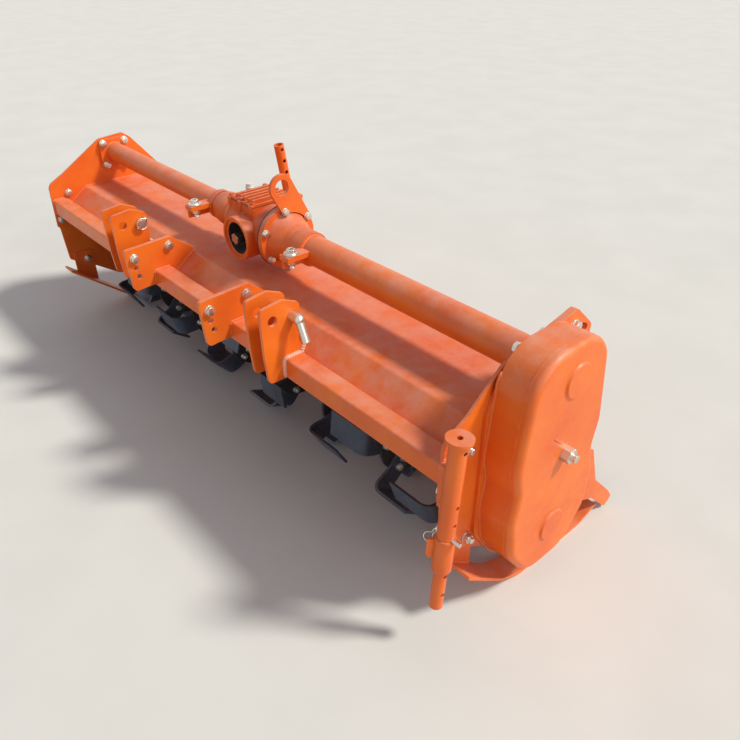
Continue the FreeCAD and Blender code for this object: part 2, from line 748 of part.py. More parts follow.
def stand_sleeve():
    """Sleeve with a disc on top and a wider socket below, on a pad on the side plate."""
    outer = round_z(SLEEVE_BOTTOM_Z, SLEEVE_TOP_Z - DISC_TOP_T, STAND_X, STAND_Y, SLEEVE_R)
    disc = round_z(SLEEVE_TOP_Z - DISC_TOP_T, SLEEVE_TOP_Z, STAND_X, STAND_Y, SLEEVE_R + DISC_LIP)
    socket = round_z(SLEEVE_BOTTOM_Z, SLEEVE_BOTTOM_Z + SOCKET_LENGTH, STAND_X, STAND_Y, SOCKET_R)
    pad = block(RIGHT_OUTSIDE_X, STAND_X, STAND_Y - PAD_FRONT, STAND_Y + PAD_REAR,
                BEAM_BOTTOM_Z - PAD_OVER, BEAM_TOP_Z + PAD_OVER)
    body = joined([leaned(joined([outer, disc, socket])), pad])
    holes = [
        round_z(SLEEVE_BOTTOM_Z - 1, SLEEVE_TOP_Z - DISC_TOP_T, STAND_X, STAND_Y, SLEEVE_R - SLEEVE_WALL),
        round_z(SLEEVE_TOP_Z - DISC_TOP_T - 1, SLEEVE_TOP_Z + 1, STAND_X, STAND_Y, DISC_HOLE_R),
        round_x(STAND_X - SOCKET_R - 1, STAND_X + SOCKET_R + 1, STAND_Y, STAND_PIN_Z, STAND_PIN_R),
    ]
    for below in SLEEVE_HOLES:
        holes.append(round_x(STAND_X, STAND_X + SLEEVE_R + 1, STAND_Y, SLEEVE_TOP_Z - below, STAND_HOLE_R))
    return body.cut([leaned(hole) for hole in holes])


def stand_leg():
    outer = round_z(LEG_FOOT_Z, LEG_FOOT_Z + LEG_LENGTH, STAND_X, STAND_Y, LEG_R)
    cuts = [round_z(LEG_FOOT_Z - 1, LEG_FOOT_Z + LEG_LENGTH + 1, STAND_X, STAND_Y, LEG_R - LEG_WALL)]
    for index in range(LEG_HOLES):
        height = LEG_FOOT_Z + LEG_FIRST_HOLE + LEG_HOLE_STEP * index
        cuts.append(round_x(STAND_X - LEG_R - 1, STAND_X + LEG_R + 1, STAND_Y, height, STAND_HOLE_R))
    return leaned(outer.cut(cuts))


def stand_pin():
    """Locking pin on the socket's rim: its two ends, both stopping at the leg's wall."""
    clear_r = LEG_R + 2 * SHAFT_CLEARANCE
    clear = round_z(STAND_PIN_Z - SOCKET_R, STAND_PIN_Z + SOCKET_R, STAND_X, STAND_Y, clear_r)
    left = round_x(STAND_X - SLEEVE_R - STAND_PIN_NEAR, STAND_X, STAND_Y, STAND_PIN_Z, STAND_PIN_R)
    right = round_x(STAND_X, STAND_X + SLEEVE_R + STAND_PIN_FAR, STAND_Y, STAND_PIN_Z, STAND_PIN_R)
    return Part.makeCompound([leaned(left.cut(clear)), leaned(right.cut(clear))])


def disc_places():
    """Number and middle of each flange, spread evenly about the machine's middle."""
    return [(index, DISC_STEP * (index - (DISC_COUNT - 1) / 2)) for index in range(DISC_COUNT)]


def rotor_shaft():
    body = [round_x(ROTOR_LEFT_X, ROTOR_RIGHT_X, 0, ROTOR_Z, ROTOR_TUBE_R)]
    for index, x in disc_places():
        body.append(round_x(x - DISC_T / 2, x + DISC_T / 2, 0, ROTOR_Z, DISC_R))
    shell = joined(body)
    shell = shell.cut(round_x(ROTOR_LEFT_X + 12, ROTOR_RIGHT_X - 12, 0, ROTOR_Z, ROTOR_TUBE_R - ROTOR_TUBE_WALL))
    left_stub = round_x(LEFT_FACE_X + 2, ROTOR_LEFT_X, 0, ROTOR_Z, STUB_R)
    right_stub = round_x(ROTOR_RIGHT_X, CASE_BACK_X + CASE_WALL, 0, ROTOR_Z, STUB_R)
    return joined([shell, left_stub, right_stub])


# Tine seen along the rotor, standing up: y, distance from the rotor axis, corner radius
TINE_OUTLINE = [
    (-30, 54, 8),
    (30, 54, 8),
    (38, 124, 80),
    (74, TINE_REACH + TINE_T, 0),
    (-10, TINE_REACH + TINE_T, 0),
    (-30, 128, 60),
]


def tine():
    """One L-shaped tine standing up on the plus side of a disc whose face is at x = 0."""
    side_view = plate_x(rounded_wire, TINE_OUTLINE, 0, TINE_FOOT)
    bend = sheet_corners([(TINE_FOOT, TINE_REACH), (0, TINE_REACH), (0, TINE_ROOT)], TINE_T, TINE_BEND_R)
    wire = rounded_wire(bend, lambda x, z: Vector(x, -TINE_REACH / 2, z))
    front_view = Part.Face(wire).extrude(Vector(0, TINE_REACH, 0))
    return side_view.common(front_view)


def rotor_tines():
    right_hand = tine()
    left_hand = right_hand.mirror(Vector(0, 0, 0), X_AXIS)
    placed = []
    for index, x in disc_places():
        for hand, shape in ((1, right_hand), (-1, left_hand)):
            if x + hand * (TINE_FOOT + DISC_T) > RIGHT_INSIDE_X - BEARING_T:
                continue
            for number in range(TINES_EACH_SIDE):
                angle = DISC_STAGGER * index + 360 / TINES_EACH_SIDE * number
                if hand < 0:
                    angle += 180 / TINES_EACH_SIDE
                copy = shape.copy()
                copy.rotate(Vector(0, 0, 0), X_AXIS, angle)
                copy.translate(Vector(x + hand * DISC_T / 2, 0, ROTOR_Z))
                placed.append(copy)
    return Part.makeCompound(placed)


def rotor_bearing(x_from, x_to):
    ring = round_x(x_from, x_to, 0, ROTOR_Z, BEARING_SEAT_R)
    flange_from = LEFT_INSIDE_X if x_from < 0 else RIGHT_INSIDE_X - 10
    flange = round_x(flange_from, flange_from + 10, 0, ROTOR_Z, BEARING_SEAT_R + 26)
    body = joined([ring, flange])
    return body.cut(round_x(x_from - 1, x_to + 1, 0, ROTOR_Z, STUB_R + SHAFT_CLEARANCE))


# Rear board: how its top edge sits from the hinge, then two flat runs with their lean from upright
BOARD_TOP_OUT = 18.0
BOARD_TOP_DOWN = 12.0
BOARD_LEAN = 15.0
BOARD_LENGTH = 244.0
LIP_LEAN = 26.0
LIP_LENGTH = 80.0


def board_place(down, out):
    """A point by how far it is down the board from its top edge and out behind its rear face."""
    lean = math.radians(BOARD_LEAN)
    y = HINGE_Y + BOARD_TOP_OUT + down * math.sin(lean) + out * math.cos(lean)
    z = HINGE_Z - BOARD_TOP_DOWN - down * math.cos(lean) + out * math.sin(lean)
    return y, z


HINGE_STATIONS = [-900.0, -300.0, 300.0, 900.0]


def rear_board():
    lip = math.radians(LIP_LEAN)
    top = board_place(0, 0)
    fold = board_place(BOARD_LENGTH, 0)
    bottom = (fold[0] + LIP_LENGTH * math.sin(lip), fold[1] - LIP_LENGTH * math.cos(lip))
    corners = sheet_corners([bottom, fold, top], BOARD_SHEET, 30)
    x_from = LEFT_INSIDE_X + BOARD_END_GAP
    x_to = RIGHT_INSIDE_X - BOARD_END_GAP
    board = plate_x(rounded_wire, corners, x_from, x_to)
    return board


def hinge_knuckles(offsets, sheet_edge):
    """Knuckles at each station, each joined to its sheet by a short leaf."""
    shapes = []
    for station in HINGE_STATIONS:
        for offset in offsets:
            x_from = station + offset - KNUCKLE_LENGTH / 2
            x_to = x_from + KNUCKLE_LENGTH
            knuckle = round_x(x_from, x_to, HINGE_Y, HINGE_Z, KNUCKLE_R)
            leaf_line = [(HINGE_Y, HINGE_Z), sheet_edge]
            leaf = plate_x(rounded_wire, sheet_corners(leaf_line, 6, 0), x_from, x_to)
            body = joined([knuckle, leaf])
            shapes.append(body.cut(round_x(x_from - 1, x_to + 1, HINGE_Y, HINGE_Z,
                                           HINGE_ROD_R + SHAFT_CLEARANCE)))
    return shapes


def hinge_rods():
    reach = KNUCKLE_LENGTH * 1.5 + 8
    return Part.makeCompound([round_x(station - reach, station + reach, HINGE_Y, HINGE_Z, HINGE_ROD_R)
                              for station in HINGE_STATIONS])


# Strut: its eye on the board and the guide that it slides through
EYE_DOWN_BOARD = 137.0
EYE_OUT = 30.0
GUIDE_UNDER_TUBE = 100.0
STRUT_EYE_Y, STRUT_EYE_Z = board_place(EYE_DOWN_BOARD, EYE_OUT)
STRUT_PIN_R = 8.0
STRUT_HOLES = 4
STRUT_HOLE_STEP = 44.0
STRUT_TAIL = 24.0
EAR_T = 8.0
EAR_GAP = 44.0
EAR_R = 20.0
EAR_HALF_FOOT = 52.0
LEAN = math.radians(STRUT_LEAN)
GUIDE_Z = TUBE_Z - GUIDE_UNDER_TUBE
GUIDE_Y = STRUT_EYE_Y - (GUIDE_Z - STRUT_EYE_Z) * math.tan(LEAN)
GUIDE_T = 8.0
STOP_PIN_Z = GUIDE_Z + GUIDE_T + STRUT_HOLE_R + SEAT_GAP


def board_strut():
    eye = Vector(STRUT_X, STRUT_EYE_Y, STRUT_EYE_Z)
    up = Vector(0, -math.sin(LEAN), math.cos(LEAN))
    start = eye - up * STRUT_TAIL
    outer = Part.makeCylinder(STRUT_R, STRUT_LENGTH, start, up)
    inner = Part.makeCylinder(STRUT_R - STRUT_WALL, STRUT_LENGTH + 2, start - up, up)
    tube = outer.cut(inner)
    cross = round_x(STRUT_X - 40, STRUT_X + 40, STRUT_EYE_Y, STRUT_EYE_Z, STRUT_PIN_R + SHAFT_CLEARANCE)
    holes = []
    stop = (STOP_PIN_Z - STRUT_EYE_Z) / math.cos(LEAN)
    for index in range(STRUT_HOLES):
        centre = eye + up * (stop + STRUT_HOLE_STEP * (index + 1))
        holes.append(round_x(STRUT_X - 40, STRUT_X + 40, centre.y, centre.z, STRUT_HOLE_R))
    return tube.cut([cross] + holes)


def strut_eye_pin():
    half = EAR_GAP / 2 + EAR_T + 8
    return round_x(STRUT_X - half, STRUT_X + half, STRUT_EYE_Y, STRUT_EYE_Z, STRUT_PIN_R)


def board_ears():
    """Two ears on the rear board that hold the strut's eye pin."""
    corners = []
    for down, out, radius in ((-EAR_HALF_FOOT, 0, 0), (EAR_HALF_FOOT, 0, 0),
                              (EAR_R, EYE_OUT + EAR_R, EAR_R * 0.9), (-EAR_R, EYE_OUT + EAR_R, EAR_R * 0.9)):
        y, z = board_place(EYE_DOWN_BOARD + down, out)
        corners.append((y, z, radius))
    shapes = []
    for edge in (-1, 1):
        inner = STRUT_X + edge * EAR_GAP / 2
        outer = inner + edge * EAR_T
        x_from, x_to = min(inner, outer), max(inner, outer)
        ear = plate_x(rounded_wire, corners, x_from, x_to)
        shapes.append(ear.cut(round_x(x_from - 1, x_to + 1, STRUT_EYE_Y, STRUT_EYE_Z, STRUT_PIN_R)))
    return Part.makeCompound(shapes)


def strut_guide():
    """Bracket on the hood: two uprights and a plate with a long slot for the strut."""
    slope = (HOOD_FOLD_Y - HOOD_REAR_Y, HOOD_REAR_UNDER_TUBE - HOOD_TOP_UNDER_TUBE)
    shapes = []
    for edge in (-1, 1):
        inner = STRUT_X + edge * 34
        outer = inner + edge * 8
        x_from, x_to = min(inner, outer), max(inner, outer)
        rows = [(GUIDE_Y + 36, GUIDE_Z), (GUIDE_Y - 48, GUIDE_Z)]
        rows += [(HOOD_REAR_Y + slope[0] * 0.75, TUBE_Z - HOOD_REAR_UNDER_TUBE + slope[1] * 0.75),
                 (HOOD_REAR_Y + slope[0] * 0.12, TUBE_Z - HOOD_REAR_UNDER_TUBE + slope[1] * 0.12)]
        corners = [(y, z, 0) for y, z in rows]
        shapes.append(plate_x(rounded_wire, corners, x_from, x_to))
    top = block(STRUT_X - 42, STRUT_X + 42, GUIDE_Y - 48, GUIDE_Y + 36, GUIDE_Z, GUIDE_Z + GUIDE_T)
    slot = joined([
        block(STRUT_X - 21, STRUT_X + 21, GUIDE_Y - 8, GUIDE_Y + 8, GUIDE_Z - 1, GUIDE_Z + GUIDE_T + 1),
        round_z(GUIDE_Z - 1, GUIDE_Z + GUIDE_T + 1, STRUT_X, GUIDE_Y - 8, 21),
        round_z(GUIDE_Z - 1, GUIDE_Z + GUIDE_T + 1, STRUT_X, GUIDE_Y + 8, 21)])
    return joined(shapes + [top]).cut(slot)


def strut_stop_pin():
    """Cross pin that hangs the strut on its guide."""
    y = STRUT_EYE_Y - (STOP_PIN_Z - STRUT_EYE_Z) * math.tan(LEAN)
    return round_x(STRUT_X - 36, STRUT_X + 36, y, STOP_PIN_Z, STRUT_HOLE_R)


def build():
    board_hinges = hinge_knuckles((-KNUCKLE_LENGTH - 2, KNUCKLE_LENGTH + 2), board_place(0, 0))
    hood_hinges = hinge_knuckles((0,), (HOOD_REAR_Y, TUBE_Z - HOOD_REAR_UNDER_TUBE))
    board = rear_board()
    stop_pin = strut_stop_pin()
    left_housing = left_bearing_housing()
    right_housing = right_bearing_housing()
    nodes = {
        "left_side_plate": left_side_plate(),
        "right_side_plate": right_side_plate(),
        "case_mount_plate": case_mount_plate(),
        "gear_case": gear_case(),
        "gear_case_cover": gear_case_cover(),
        "idler_nut": idler_nut(),
        "front_beam": front_beam(),
        "hood": hood(),
        "left_tube": left_tube(),
        "right_tube": right_tube(),
        "gearbox_housing": gearbox_housing(),
        "gearbox_cover": gearbox_cover(),
        "breather": breather(),
        "right_bearing_housing": right_housing,
        "left_bearing_housing": left_housing,
        "lever_plate": lever_plate(),
        "input_shaft": input_shaft(),
        "left_link_clevis": link_clevis(-1),
        "right_link_clevis": link_clevis(1),
        "left_hitch_pin": hitch_pin(-1),
        "right_hitch_pin": hitch_pin(1),
        "left_mast_lug": mast_lug(-1),
        "right_mast_lug": mast_lug(1),
        "left_tube_bracket": tube_bracket(-1, LEFT_TUBE_R, left_housing),
        "right_tube_bracket": tube_bracket(1, RIGHT_TUBE_R, right_housing),
        "left_skid": skid(LEFT_SKID_TIP, LEFT_SKID_LUGS, LEFT_INSIDE_X),
        "right_skid": skid(RIGHT_SKID_TIP, RIGHT_SKID_LUGS, RIGHT_SKID_X),
        "skid_stay": skid_stay(),
        "stand_sleeve": stand_sleeve(),
        "stand_leg": stand_leg(),
        "stand_pin": stand_pin(),
        "rotor_shaft": rotor_shaft(),
        "rotor_tines": rotor_tines(),
        "left_rotor_bearing": rotor_bearing(LEFT_FACE_X, LEFT_INSIDE_X + BEARING_T),
        "right_rotor_bearing": rotor_bearing(RIGHT_INSIDE_X - BEARING_T, RIGHT_OUTSIDE_X),
        "hood_hinges": Part.makeCompound(hood_hinges),
        "hinge_rods": hinge_rods(),
        "rear_board": board,
        "board_hinges": Part.makeCompound([shape.cut(board) for shape in board_hinges]),
        "board_ears": board_ears(),
        "strut_eye_pin": strut_eye_pin(),
        "board_strut": board_strut().cut(stop_pin),
        "strut_stop_pin": stop_pin,
        "strut_guide": strut_guide(),
    }
    return nodes


def main():
    nodes = build()
    os.makedirs("parts", exist_ok=True)
    box = Part.makeCompound(list(nodes.values())).optimalBoundingBox(False, False)
    to_origin = Vector(-(box.XMin + box.XMax) / 2, -(box.YMin + box.YMax) / 2, 0)
    for name, shape in nodes.items():
        shape.translate(to_origin)
        shape.exportStep("parts/" + name + ".step")
    print("moved by", to_origin, "size", box.XLength, box.YLength, box.ZLength)
    return nodes, to_origin


main()
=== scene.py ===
import math
import bmesh
import bpy
from mathutils import Matrix, Vector


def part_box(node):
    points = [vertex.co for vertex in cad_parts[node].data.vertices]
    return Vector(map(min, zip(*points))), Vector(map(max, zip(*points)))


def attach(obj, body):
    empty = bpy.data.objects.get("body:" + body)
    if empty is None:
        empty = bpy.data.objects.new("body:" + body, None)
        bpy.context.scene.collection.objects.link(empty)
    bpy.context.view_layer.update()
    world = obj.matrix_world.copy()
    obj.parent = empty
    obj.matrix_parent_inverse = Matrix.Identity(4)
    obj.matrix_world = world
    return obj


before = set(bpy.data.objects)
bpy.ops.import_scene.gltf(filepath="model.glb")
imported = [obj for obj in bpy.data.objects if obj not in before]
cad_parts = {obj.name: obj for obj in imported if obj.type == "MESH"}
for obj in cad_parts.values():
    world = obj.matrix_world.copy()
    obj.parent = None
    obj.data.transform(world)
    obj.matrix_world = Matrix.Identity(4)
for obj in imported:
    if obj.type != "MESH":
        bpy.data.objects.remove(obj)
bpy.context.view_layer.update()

# The machine's own measures, in millimetres, as the solids have them. Places are given as x from the
# machine's middle, y back from the cross tube's axis, and height over that axis. T is a thickness and
# R a radius.
LEFT_FACE = -1150.0
RIGHT_FACE = 1150.0
PLATE_T = 8.0
MOUNT_PLATE_T = 10.0
CASE_DEPTH = 72.0
CASE_COVER_DEPTH = 30.0
CASE_COVER_BOSS = 5.0
LEFT_INSIDE = LEFT_FACE + PLATE_T
CASE_COVER_FACE = RIGHT_FACE - CASE_COVER_BOSS
CASE_SEAM = RIGHT_FACE - CASE_COVER_DEPTH
CASE_BACK = CASE_SEAM - CASE_DEPTH
RIGHT_OUTSIDE = CASE_BACK - MOUNT_PLATE_T
RIGHT_INSIDE = RIGHT_OUTSIDE - PLATE_T
TUBE_OVER_FLOOR = 645.0
ROTOR_OVER_FLOOR = 214.0
ROTOR_UP = ROTOR_OVER_FLOOR - TUBE_OVER_FLOOR
TUBE_FLANGE_T = 12.0
LEFT_TUBE_R = 38.0
RIGHT_TUBE_R = 44.5
LEFT_TUBE_END = -300.0
RIGHT_TUBE_END = 222.0
BEAM_SIZE = 60.0
BEAM_CORNER = 7.0
BEAM_FRONT = -293.0
BEAM_REAR = BEAM_FRONT + BEAM_SIZE
BEAM_TOP = -144.0
BEAM_BOTTOM = BEAM_TOP - BEAM_SIZE
LINK_MIDDLE = 425.0
CLEVIS_HALF_GAP = 28.0
CLEVIS_T = 10.0
HITCH = -36.0
MAST_LUG = 230.0
MAST_LUG_HALF_T = 7.0
TUBE_BRACKET = 272.0
INPUT_UP = -15.0
SKID_LUG_T = 6.0
BEARING_T = 20.0
BEARING_FLANGE_T = 10.0
BEARING_FLANGE_R = 72.0
MIDDLE_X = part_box("left_side_plate")[0].x - LEFT_FACE / 1000
TUBE_Y = sum(corner.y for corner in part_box("left_tube")) / 2
TUBE_UP = TUBE_OVER_FLOOR / 1000


def at(x, y, up):
    return Vector((MIDDLE_X + x / 1000, TUBE_Y + y / 1000, TUBE_UP + up / 1000))


# Materials

def add(tree, kind, **settings):
    made = tree.nodes.new(kind)
    for key, value in settings.items():
        setattr(made, key, value)
    return made


def spread(tree, source, low, high, to_low, to_high):
    """Stretch the part of a value between low and high to a new range."""
    made = add(tree, "ShaderNodeMapRange")
    made.inputs["From Min"].default_value = low
    made.inputs["From Max"].default_value = high
    made.inputs["To Min"].default_value = to_low
    made.inputs["To Max"].default_value = to_high
    tree.links.new(source, made.inputs["Value"])
    return made.outputs["Result"]


def noise(tree, scale, detail=3.0, roughness=0.5):
    place = add(tree, "ShaderNodeTexCoord")
    made = add(tree, "ShaderNodeTexNoise")
    made.inputs["Scale"].default_value = scale
    made.inputs["Detail"].default_value = detail
    made.inputs["Roughness"].default_value = roughness
    tree.links.new(place.outputs["Object"], made.inputs["Vector"])
    return made.outputs["Fac"]


def joined(tree, operation, first, second):
    """One value out of two, by multiplying, adding or taking the larger."""
    made = add(tree, "ShaderNodeMath", operation=operation)
    for socket, value in zip(made.inputs, (first, second)):
        if isinstance(value, (int, float)):
            socket.default_value = value
        else:
            tree.links.new(value, socket)
    return made.outputs["Value"]


def times(tree, first, second):
    return joined(tree, "MULTIPLY", first, second)


def blended(tree, share, under, over):
    made = add(tree, "ShaderNodeMix", data_type="RGBA")
    tree.links.new(share, made.inputs["Factor"])
    for socket, value in ((made.inputs[6], under), (made.inputs[7], over)):
        if isinstance(value, tuple):
            socket.default_value = value + (1.0,)
        else:
            tree.links.new(value, socket)
    return made.outputs[2]


def bumped(tree, height, strength, distance, normal):
    made = add(tree, "ShaderNodeBump")
    made.inputs["Strength"].default_value = strength
    made.inputs["Distance"].default_value = distance
    tree.links.new(height, made.inputs["Height"])
    tree.links.new(normal, made.inputs["Normal"])
    return made.outputs["Normal"]


def bevelled(tree, radius):
    made = add(tree, "ShaderNodeBevel", samples=4)
    made.inputs["Radius"].default_value = radius
    return made.outputs["Normal"]


# Colour of the dust and painted pale sky sheen that lighten faces turned up, and the widths in metres of worn
# edges and of the edges' shaded rounding
DUST_AND_SHEEN = (0.64, 0.50, 0.47)
WORN_WIDTH = 0.0035
EDGE_ROUNDING = 0.0014


def finish(name, colour, second, metallic, roughness, grain, relief, worn, dust_and_sheen):
    """Paint or metal: its colour drifts, edges wear, level faces hold dust and a painted pale sky sheen, and
    gloss and surface vary.
    """
    material = bpy.data.materials.new(name)
    material.use_nodes = True
    tree = material.node_tree
    shader = tree.nodes["Principled BSDF"]
    geometry = add(tree, "ShaderNodeNewGeometry")

    drift = spread(tree, noise(tree, 7.0, 5.0), 0.35, 0.68, 0.0, 1.0)
    tone = blended(tree, drift, colour, second)

    flatness = add(tree, "ShaderNodeVectorMath", operation="DOT_PRODUCT")
    tree.links.new(bevelled(tree, WORN_WIDTH), flatness.inputs[0])
    tree.links.new(geometry.outputs["Normal"], flatness.inputs[1])
    on_edge = spread(tree, flatness.outputs["Value"], 0.985, 0.86, 0.0, 1.0)
    patchy = spread(tree, noise(tree, 55.0, 6.0, 0.7), 0.5, 0.66, 0.0, 1.0)
    tone = blended(tree, times(tree, times(tree, on_edge, patchy), worn[3]), tone, worn[:3])

    # Faces turned up blend towards a pale pink: partly dust, partly a painted sky sheen that lightens their
    # tops
    level = add(tree, "ShaderNodeSeparateXYZ")
    tree.links.new(geometry.outputs["Normal"], level.inputs["Vector"])
    upward = spread(tree, level.outputs["Z"], 0.1, 0.95, 0.03, 1.0)
    dust_and_sheen_patches = spread(tree, noise(tree, 16.0, 8.0, 0.65), 0.38, 0.72, 0.15, 1.0)
    dust_and_sheen_share = times(tree, times(tree, upward, dust_and_sheen_patches), dust_and_sheen)
    tree.links.new(blended(tree, dust_and_sheen_share, tone, DUST_AND_SHEEN), shader.inputs["Base Color"])

    gloss = spread(tree, noise(tree, 38.0, 6.0, 0.6), 0.3, 0.7, roughness - 0.07, roughness + 0.1)
    tree.links.new(joined(tree, "ADD", gloss, times(tree, dust_and_sheen_share, 0.6)), shader.inputs["Roughness"])
    shader.inputs["Metallic"].default_value = metallic
    shader.inputs["Specular IOR Level"].default_value = 0.4

    wavy = bumped(tree, noise(tree, 18.0, 2.0), 0.35, 0.0016, bevelled(tree, EDGE_ROUNDING))
    grainy = bumped(tree, noise(tree, grain, 4.0), relief, 0.0006, wavy)
    tree.links.new(grainy, shader.inputs["Normal"])
    return material


# Name: colour, second colour, metallic, roughness, grain a metre, relief, wear (colour, share), dust and
# painted sheen
FINISHES = {
    "orange_paint": ((0.80, 0.162, 0.012), (0.72, 0.112, 0.010), 0.0, 0.34, 420, 0.25,
                     (0.90, 0.44, 0.24, 0.4), 0.42),
    "cast_paint": ((0.78, 0.150, 0.014), (0.60, 0.086, 0.012), 0.0, 0.38, 230, 0.75,
                   (0.90, 0.44, 0.24, 0.5), 0.42),
    "weld_paint": ((0.82, 0.50, 0.38), (0.76, 0.30, 0.17), 0.0, 0.45, 300, 0.5,
                   (0.85, 0.66, 0.56, 0.8), 0.35),
    "zinc_steel": ((0.74, 0.72, 0.67), (0.58, 0.55, 0.5), 1.0, 0.32, 700, 0.3,
                   (0.45, 0.42, 0.38, 0.4), 0.12),
    "machined_steel": ((0.48, 0.47, 0.45), (0.36, 0.35, 0.33), 1.0, 0.28, 900, 0.2,
                       (0.6, 0.58, 0.55, 0.5), 0.1),
    "black_paint": ((0.022, 0.022, 0.024), (0.035, 0.034, 0.034), 0.0, 0.42, 300, 0.5,
                    (0.2, 0.18, 0.16, 0.6), 0.22),
    "tine_steel": ((0.085, 0.105, 0.155), (0.05, 0.06, 0.085), 0.35, 0.4, 260, 0.5,
                   (0.3, 0.3, 0.31, 0.7), 0.16),
    "white_cap": ((0.8, 0.8, 0.78), (0.68, 0.67, 0.64), 0.0, 0.45, 500, 0.2,
                  (0.6, 0.58, 0.52, 0.4), 0.14),
    "rubber_and_shade": ((0.02, 0.02, 0.021), (0.03, 0.029, 0.028), 0.0, 0.6, 500, 0.3,
               (0.08, 0.075, 0.07, 0.4), 0.25),
}
MATERIALS = {name: finish(name + "_finish", *values) for name, values in FINISHES.items()}

# Nodes that aren't in the orange sheet paint
NODE_FINISH = {
    "breather": "white_cap",
    "input_shaft": "machined_steel",
    "idler_nut": "zinc_steel",
    "left_hitch_pin": "zinc_steel",
    "right_hitch_pin": "zinc_steel",
    "stand_pin": "zinc_steel",
    "hinge_rods": "zinc_steel",
    "strut_eye_pin": "zinc_steel",
    "strut_stop_pin": "zinc_steel",
    "rotor_shaft": "black_paint",
    "rotor_tines": "tine_steel",
    "gearbox_housing": "cast_paint",
    "gearbox_cover": "cast_paint",
    "right_bearing_housing": "cast_paint",
    "left_bearing_housing": "cast_paint",
    "left_rotor_bearing": "cast_paint",
    "right_rotor_bearing": "cast_paint",
}
for node_name, cad_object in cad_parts.items():
    chosen = MATERIALS[NODE_FINISH.get(node_name, "orange_paint")]
    if not cad_object.material_slots:
        cad_object.data.materials.append(chosen)
    for material_slot in cad_object.material_slots:
        material_slot.material = chosen


# Mesh helpers. Most of them add to a mesh; "done" turns it into a named piece that rides on a body.

RIGHTWARD = Vector((1, 0, 0))
LEFTWARD = Vector((-1, 0, 0))
FORWARD = Vector((0, -1, 0))
BACKWARD = Vector((0, 1, 0))
UPWARD = Vector((0, 0, 1))
DOWNWARD = Vector((0, 0, -1))


def facing(place, way, turn=0.0):
    """Matrix in millimetres whose Z axis points along way from the place."""
    turned = UPWARD.rotation_difference(Vector(way)).to_matrix().to_4x4()
    return Matrix.Translation(place) @ turned @ Matrix.Rotation(turn, 4, "Z") @ Matrix.Scale(0.001, 4)


def join_rings(mesh, rings):
    for lower, upper in zip(rings, rings[1:]):
        count = max(len(lower), len(upper))
        for index in range(count):
            following = (index + 1) % count
            if len(lower) == 1:
                mesh.faces.new((lower[0], upper[index], upper[following]))
            elif len(upper) == 1:
                mesh.faces.new((lower[index], upper[0], lower[following]))
            else:
                mesh.faces.new((lower[index], upper[index], upper[following], lower[following]))


def round_points(radius, count):
    """Points of a circle round the Z axis."""
    angles = [2 * math.pi * index / count for index in range(count)]
    return [Vector((radius * math.cos(angle), radius * math.sin(angle), 0)) for angle in angles]


def lathe(mesh, where, profile, steps=24, reach_of=None):
    """Turn rows of (radius, height) round the matrix's Z axis; reach_of cuts the circle to another form."""
    rings = []
    for radius, height in profile:
        if radius == 0:
            rings.append([mesh.verts.new(where @ Vector((0, 0, height)))])
            continue
        ring = []
        for index in range(steps):
            angle = 2 * math.pi * index / steps
            reach = radius if reach_of is None else reach_of(angle, radius)
            ring.append(mesh.verts.new(
                where @ Vector((reach * math.cos(angle), reach * math.sin(angle), height))))
        rings.append(ring)
    join_rings(mesh, rings)


def washer(mesh, where, radius, thickness, base=0.0):
    top = base + thickness
    lathe(mesh, where, [(0, base), (radius, base), (radius, top - 0.4), (radius - 0.5, top), (0, top)])


def open_washer(mesh, where, bore, radius, thickness):
    lathe(mesh, where, [(bore, 0), (radius, 0), (radius, thickness), (bore, thickness)])


def hexagon(mesh, where, across, base, height):
    """Hexagon with the turned chamfer that bolt heads and nuts have."""
    flat = across / 2
    radii = [0, flat * 1.02, flat * 1.3, flat * 1.3, flat * 1.1, flat * 0.96, 0]
    shares = [0, 0, 0.08, 0.78, 0.93, 1, 1]

    def six_sided(angle, radius):
        from_middle = (angle % (math.pi / 3)) - math.pi / 6
        return min(radius, flat / math.cos(from_middle))

    profile = [(radius, base + share * height) for radius, share in zip(radii, shares)]
    lathe(mesh, where, profile, 24, six_sided)


# Thread size: across flats, head height, washer radius, washer thickness
SIZES = {8: (13, 5.3, 8, 1.6), 10: (17, 6.4, 10, 2), 12: (19, 7.5, 12, 2.5), 16: (24, 10, 15, 3)}


def bolt(mesh, place, way, size):
    across, height, radius, thickness = SIZES[size]
    where = facing(place, way, 0.2)
    washer(mesh, where, radius, thickness)
    hexagon(mesh, where, across, thickness, height)


def nut(mesh, place, way, size, stub=8.0):
    """Nut on its washer, with a threaded stub that reaches out of it."""
    across, head, radius, thickness = SIZES[size]
    height = head * 1.25
    where = facing(place, way, 0.5)
    washer(mesh, where, radius, thickness)
    hexagon(mesh, where, across, thickness, height)
    top = thickness + height
    crest = size / 2
    root = crest - 0.8
    profile = [(root, top - 1)]
    for tooth in range(int(stub / 2)):
        profile += [(crest, top + 2 * tooth + 0.5), (root, top + 2 * tooth + 1.5)]
    profile.append((0, top + stub))
    lathe(mesh, where, profile, 16)


def left_bolt(mesh, y, up, size, layer=0.0):
    """Bolt through the left plate and a layer inside it: its head inside and its nut outside."""
    bolt(mesh, at(LEFT_INSIDE + layer, y, up), RIGHTWARD, size)
    nut(mesh, at(LEFT_FACE, y, up), LEFTWARD, size)


def right_bolt(mesh, y, up, size, layer=0.0):
    """Head of a bolt inside the right plate, on a layer; a nut outside, if any, is added by itself."""
    bolt(mesh, at(RIGHT_INSIDE - layer, y, up), LEFTWARD, size)


def bar(mesh, start, end, radius):
    """Round bar with chamfered ends."""
    length = (end - start).length * 1000
    chamfered = radius - 0.8
    near_end = [(0, 0), (chamfered, 0), (radius, 0.8)]
    far_end = [(radius, length - 0.8), (chamfered, length), (0, length)]
    lathe(mesh, facing(start, (end - start).normalized()), near_end + far_end, 16)


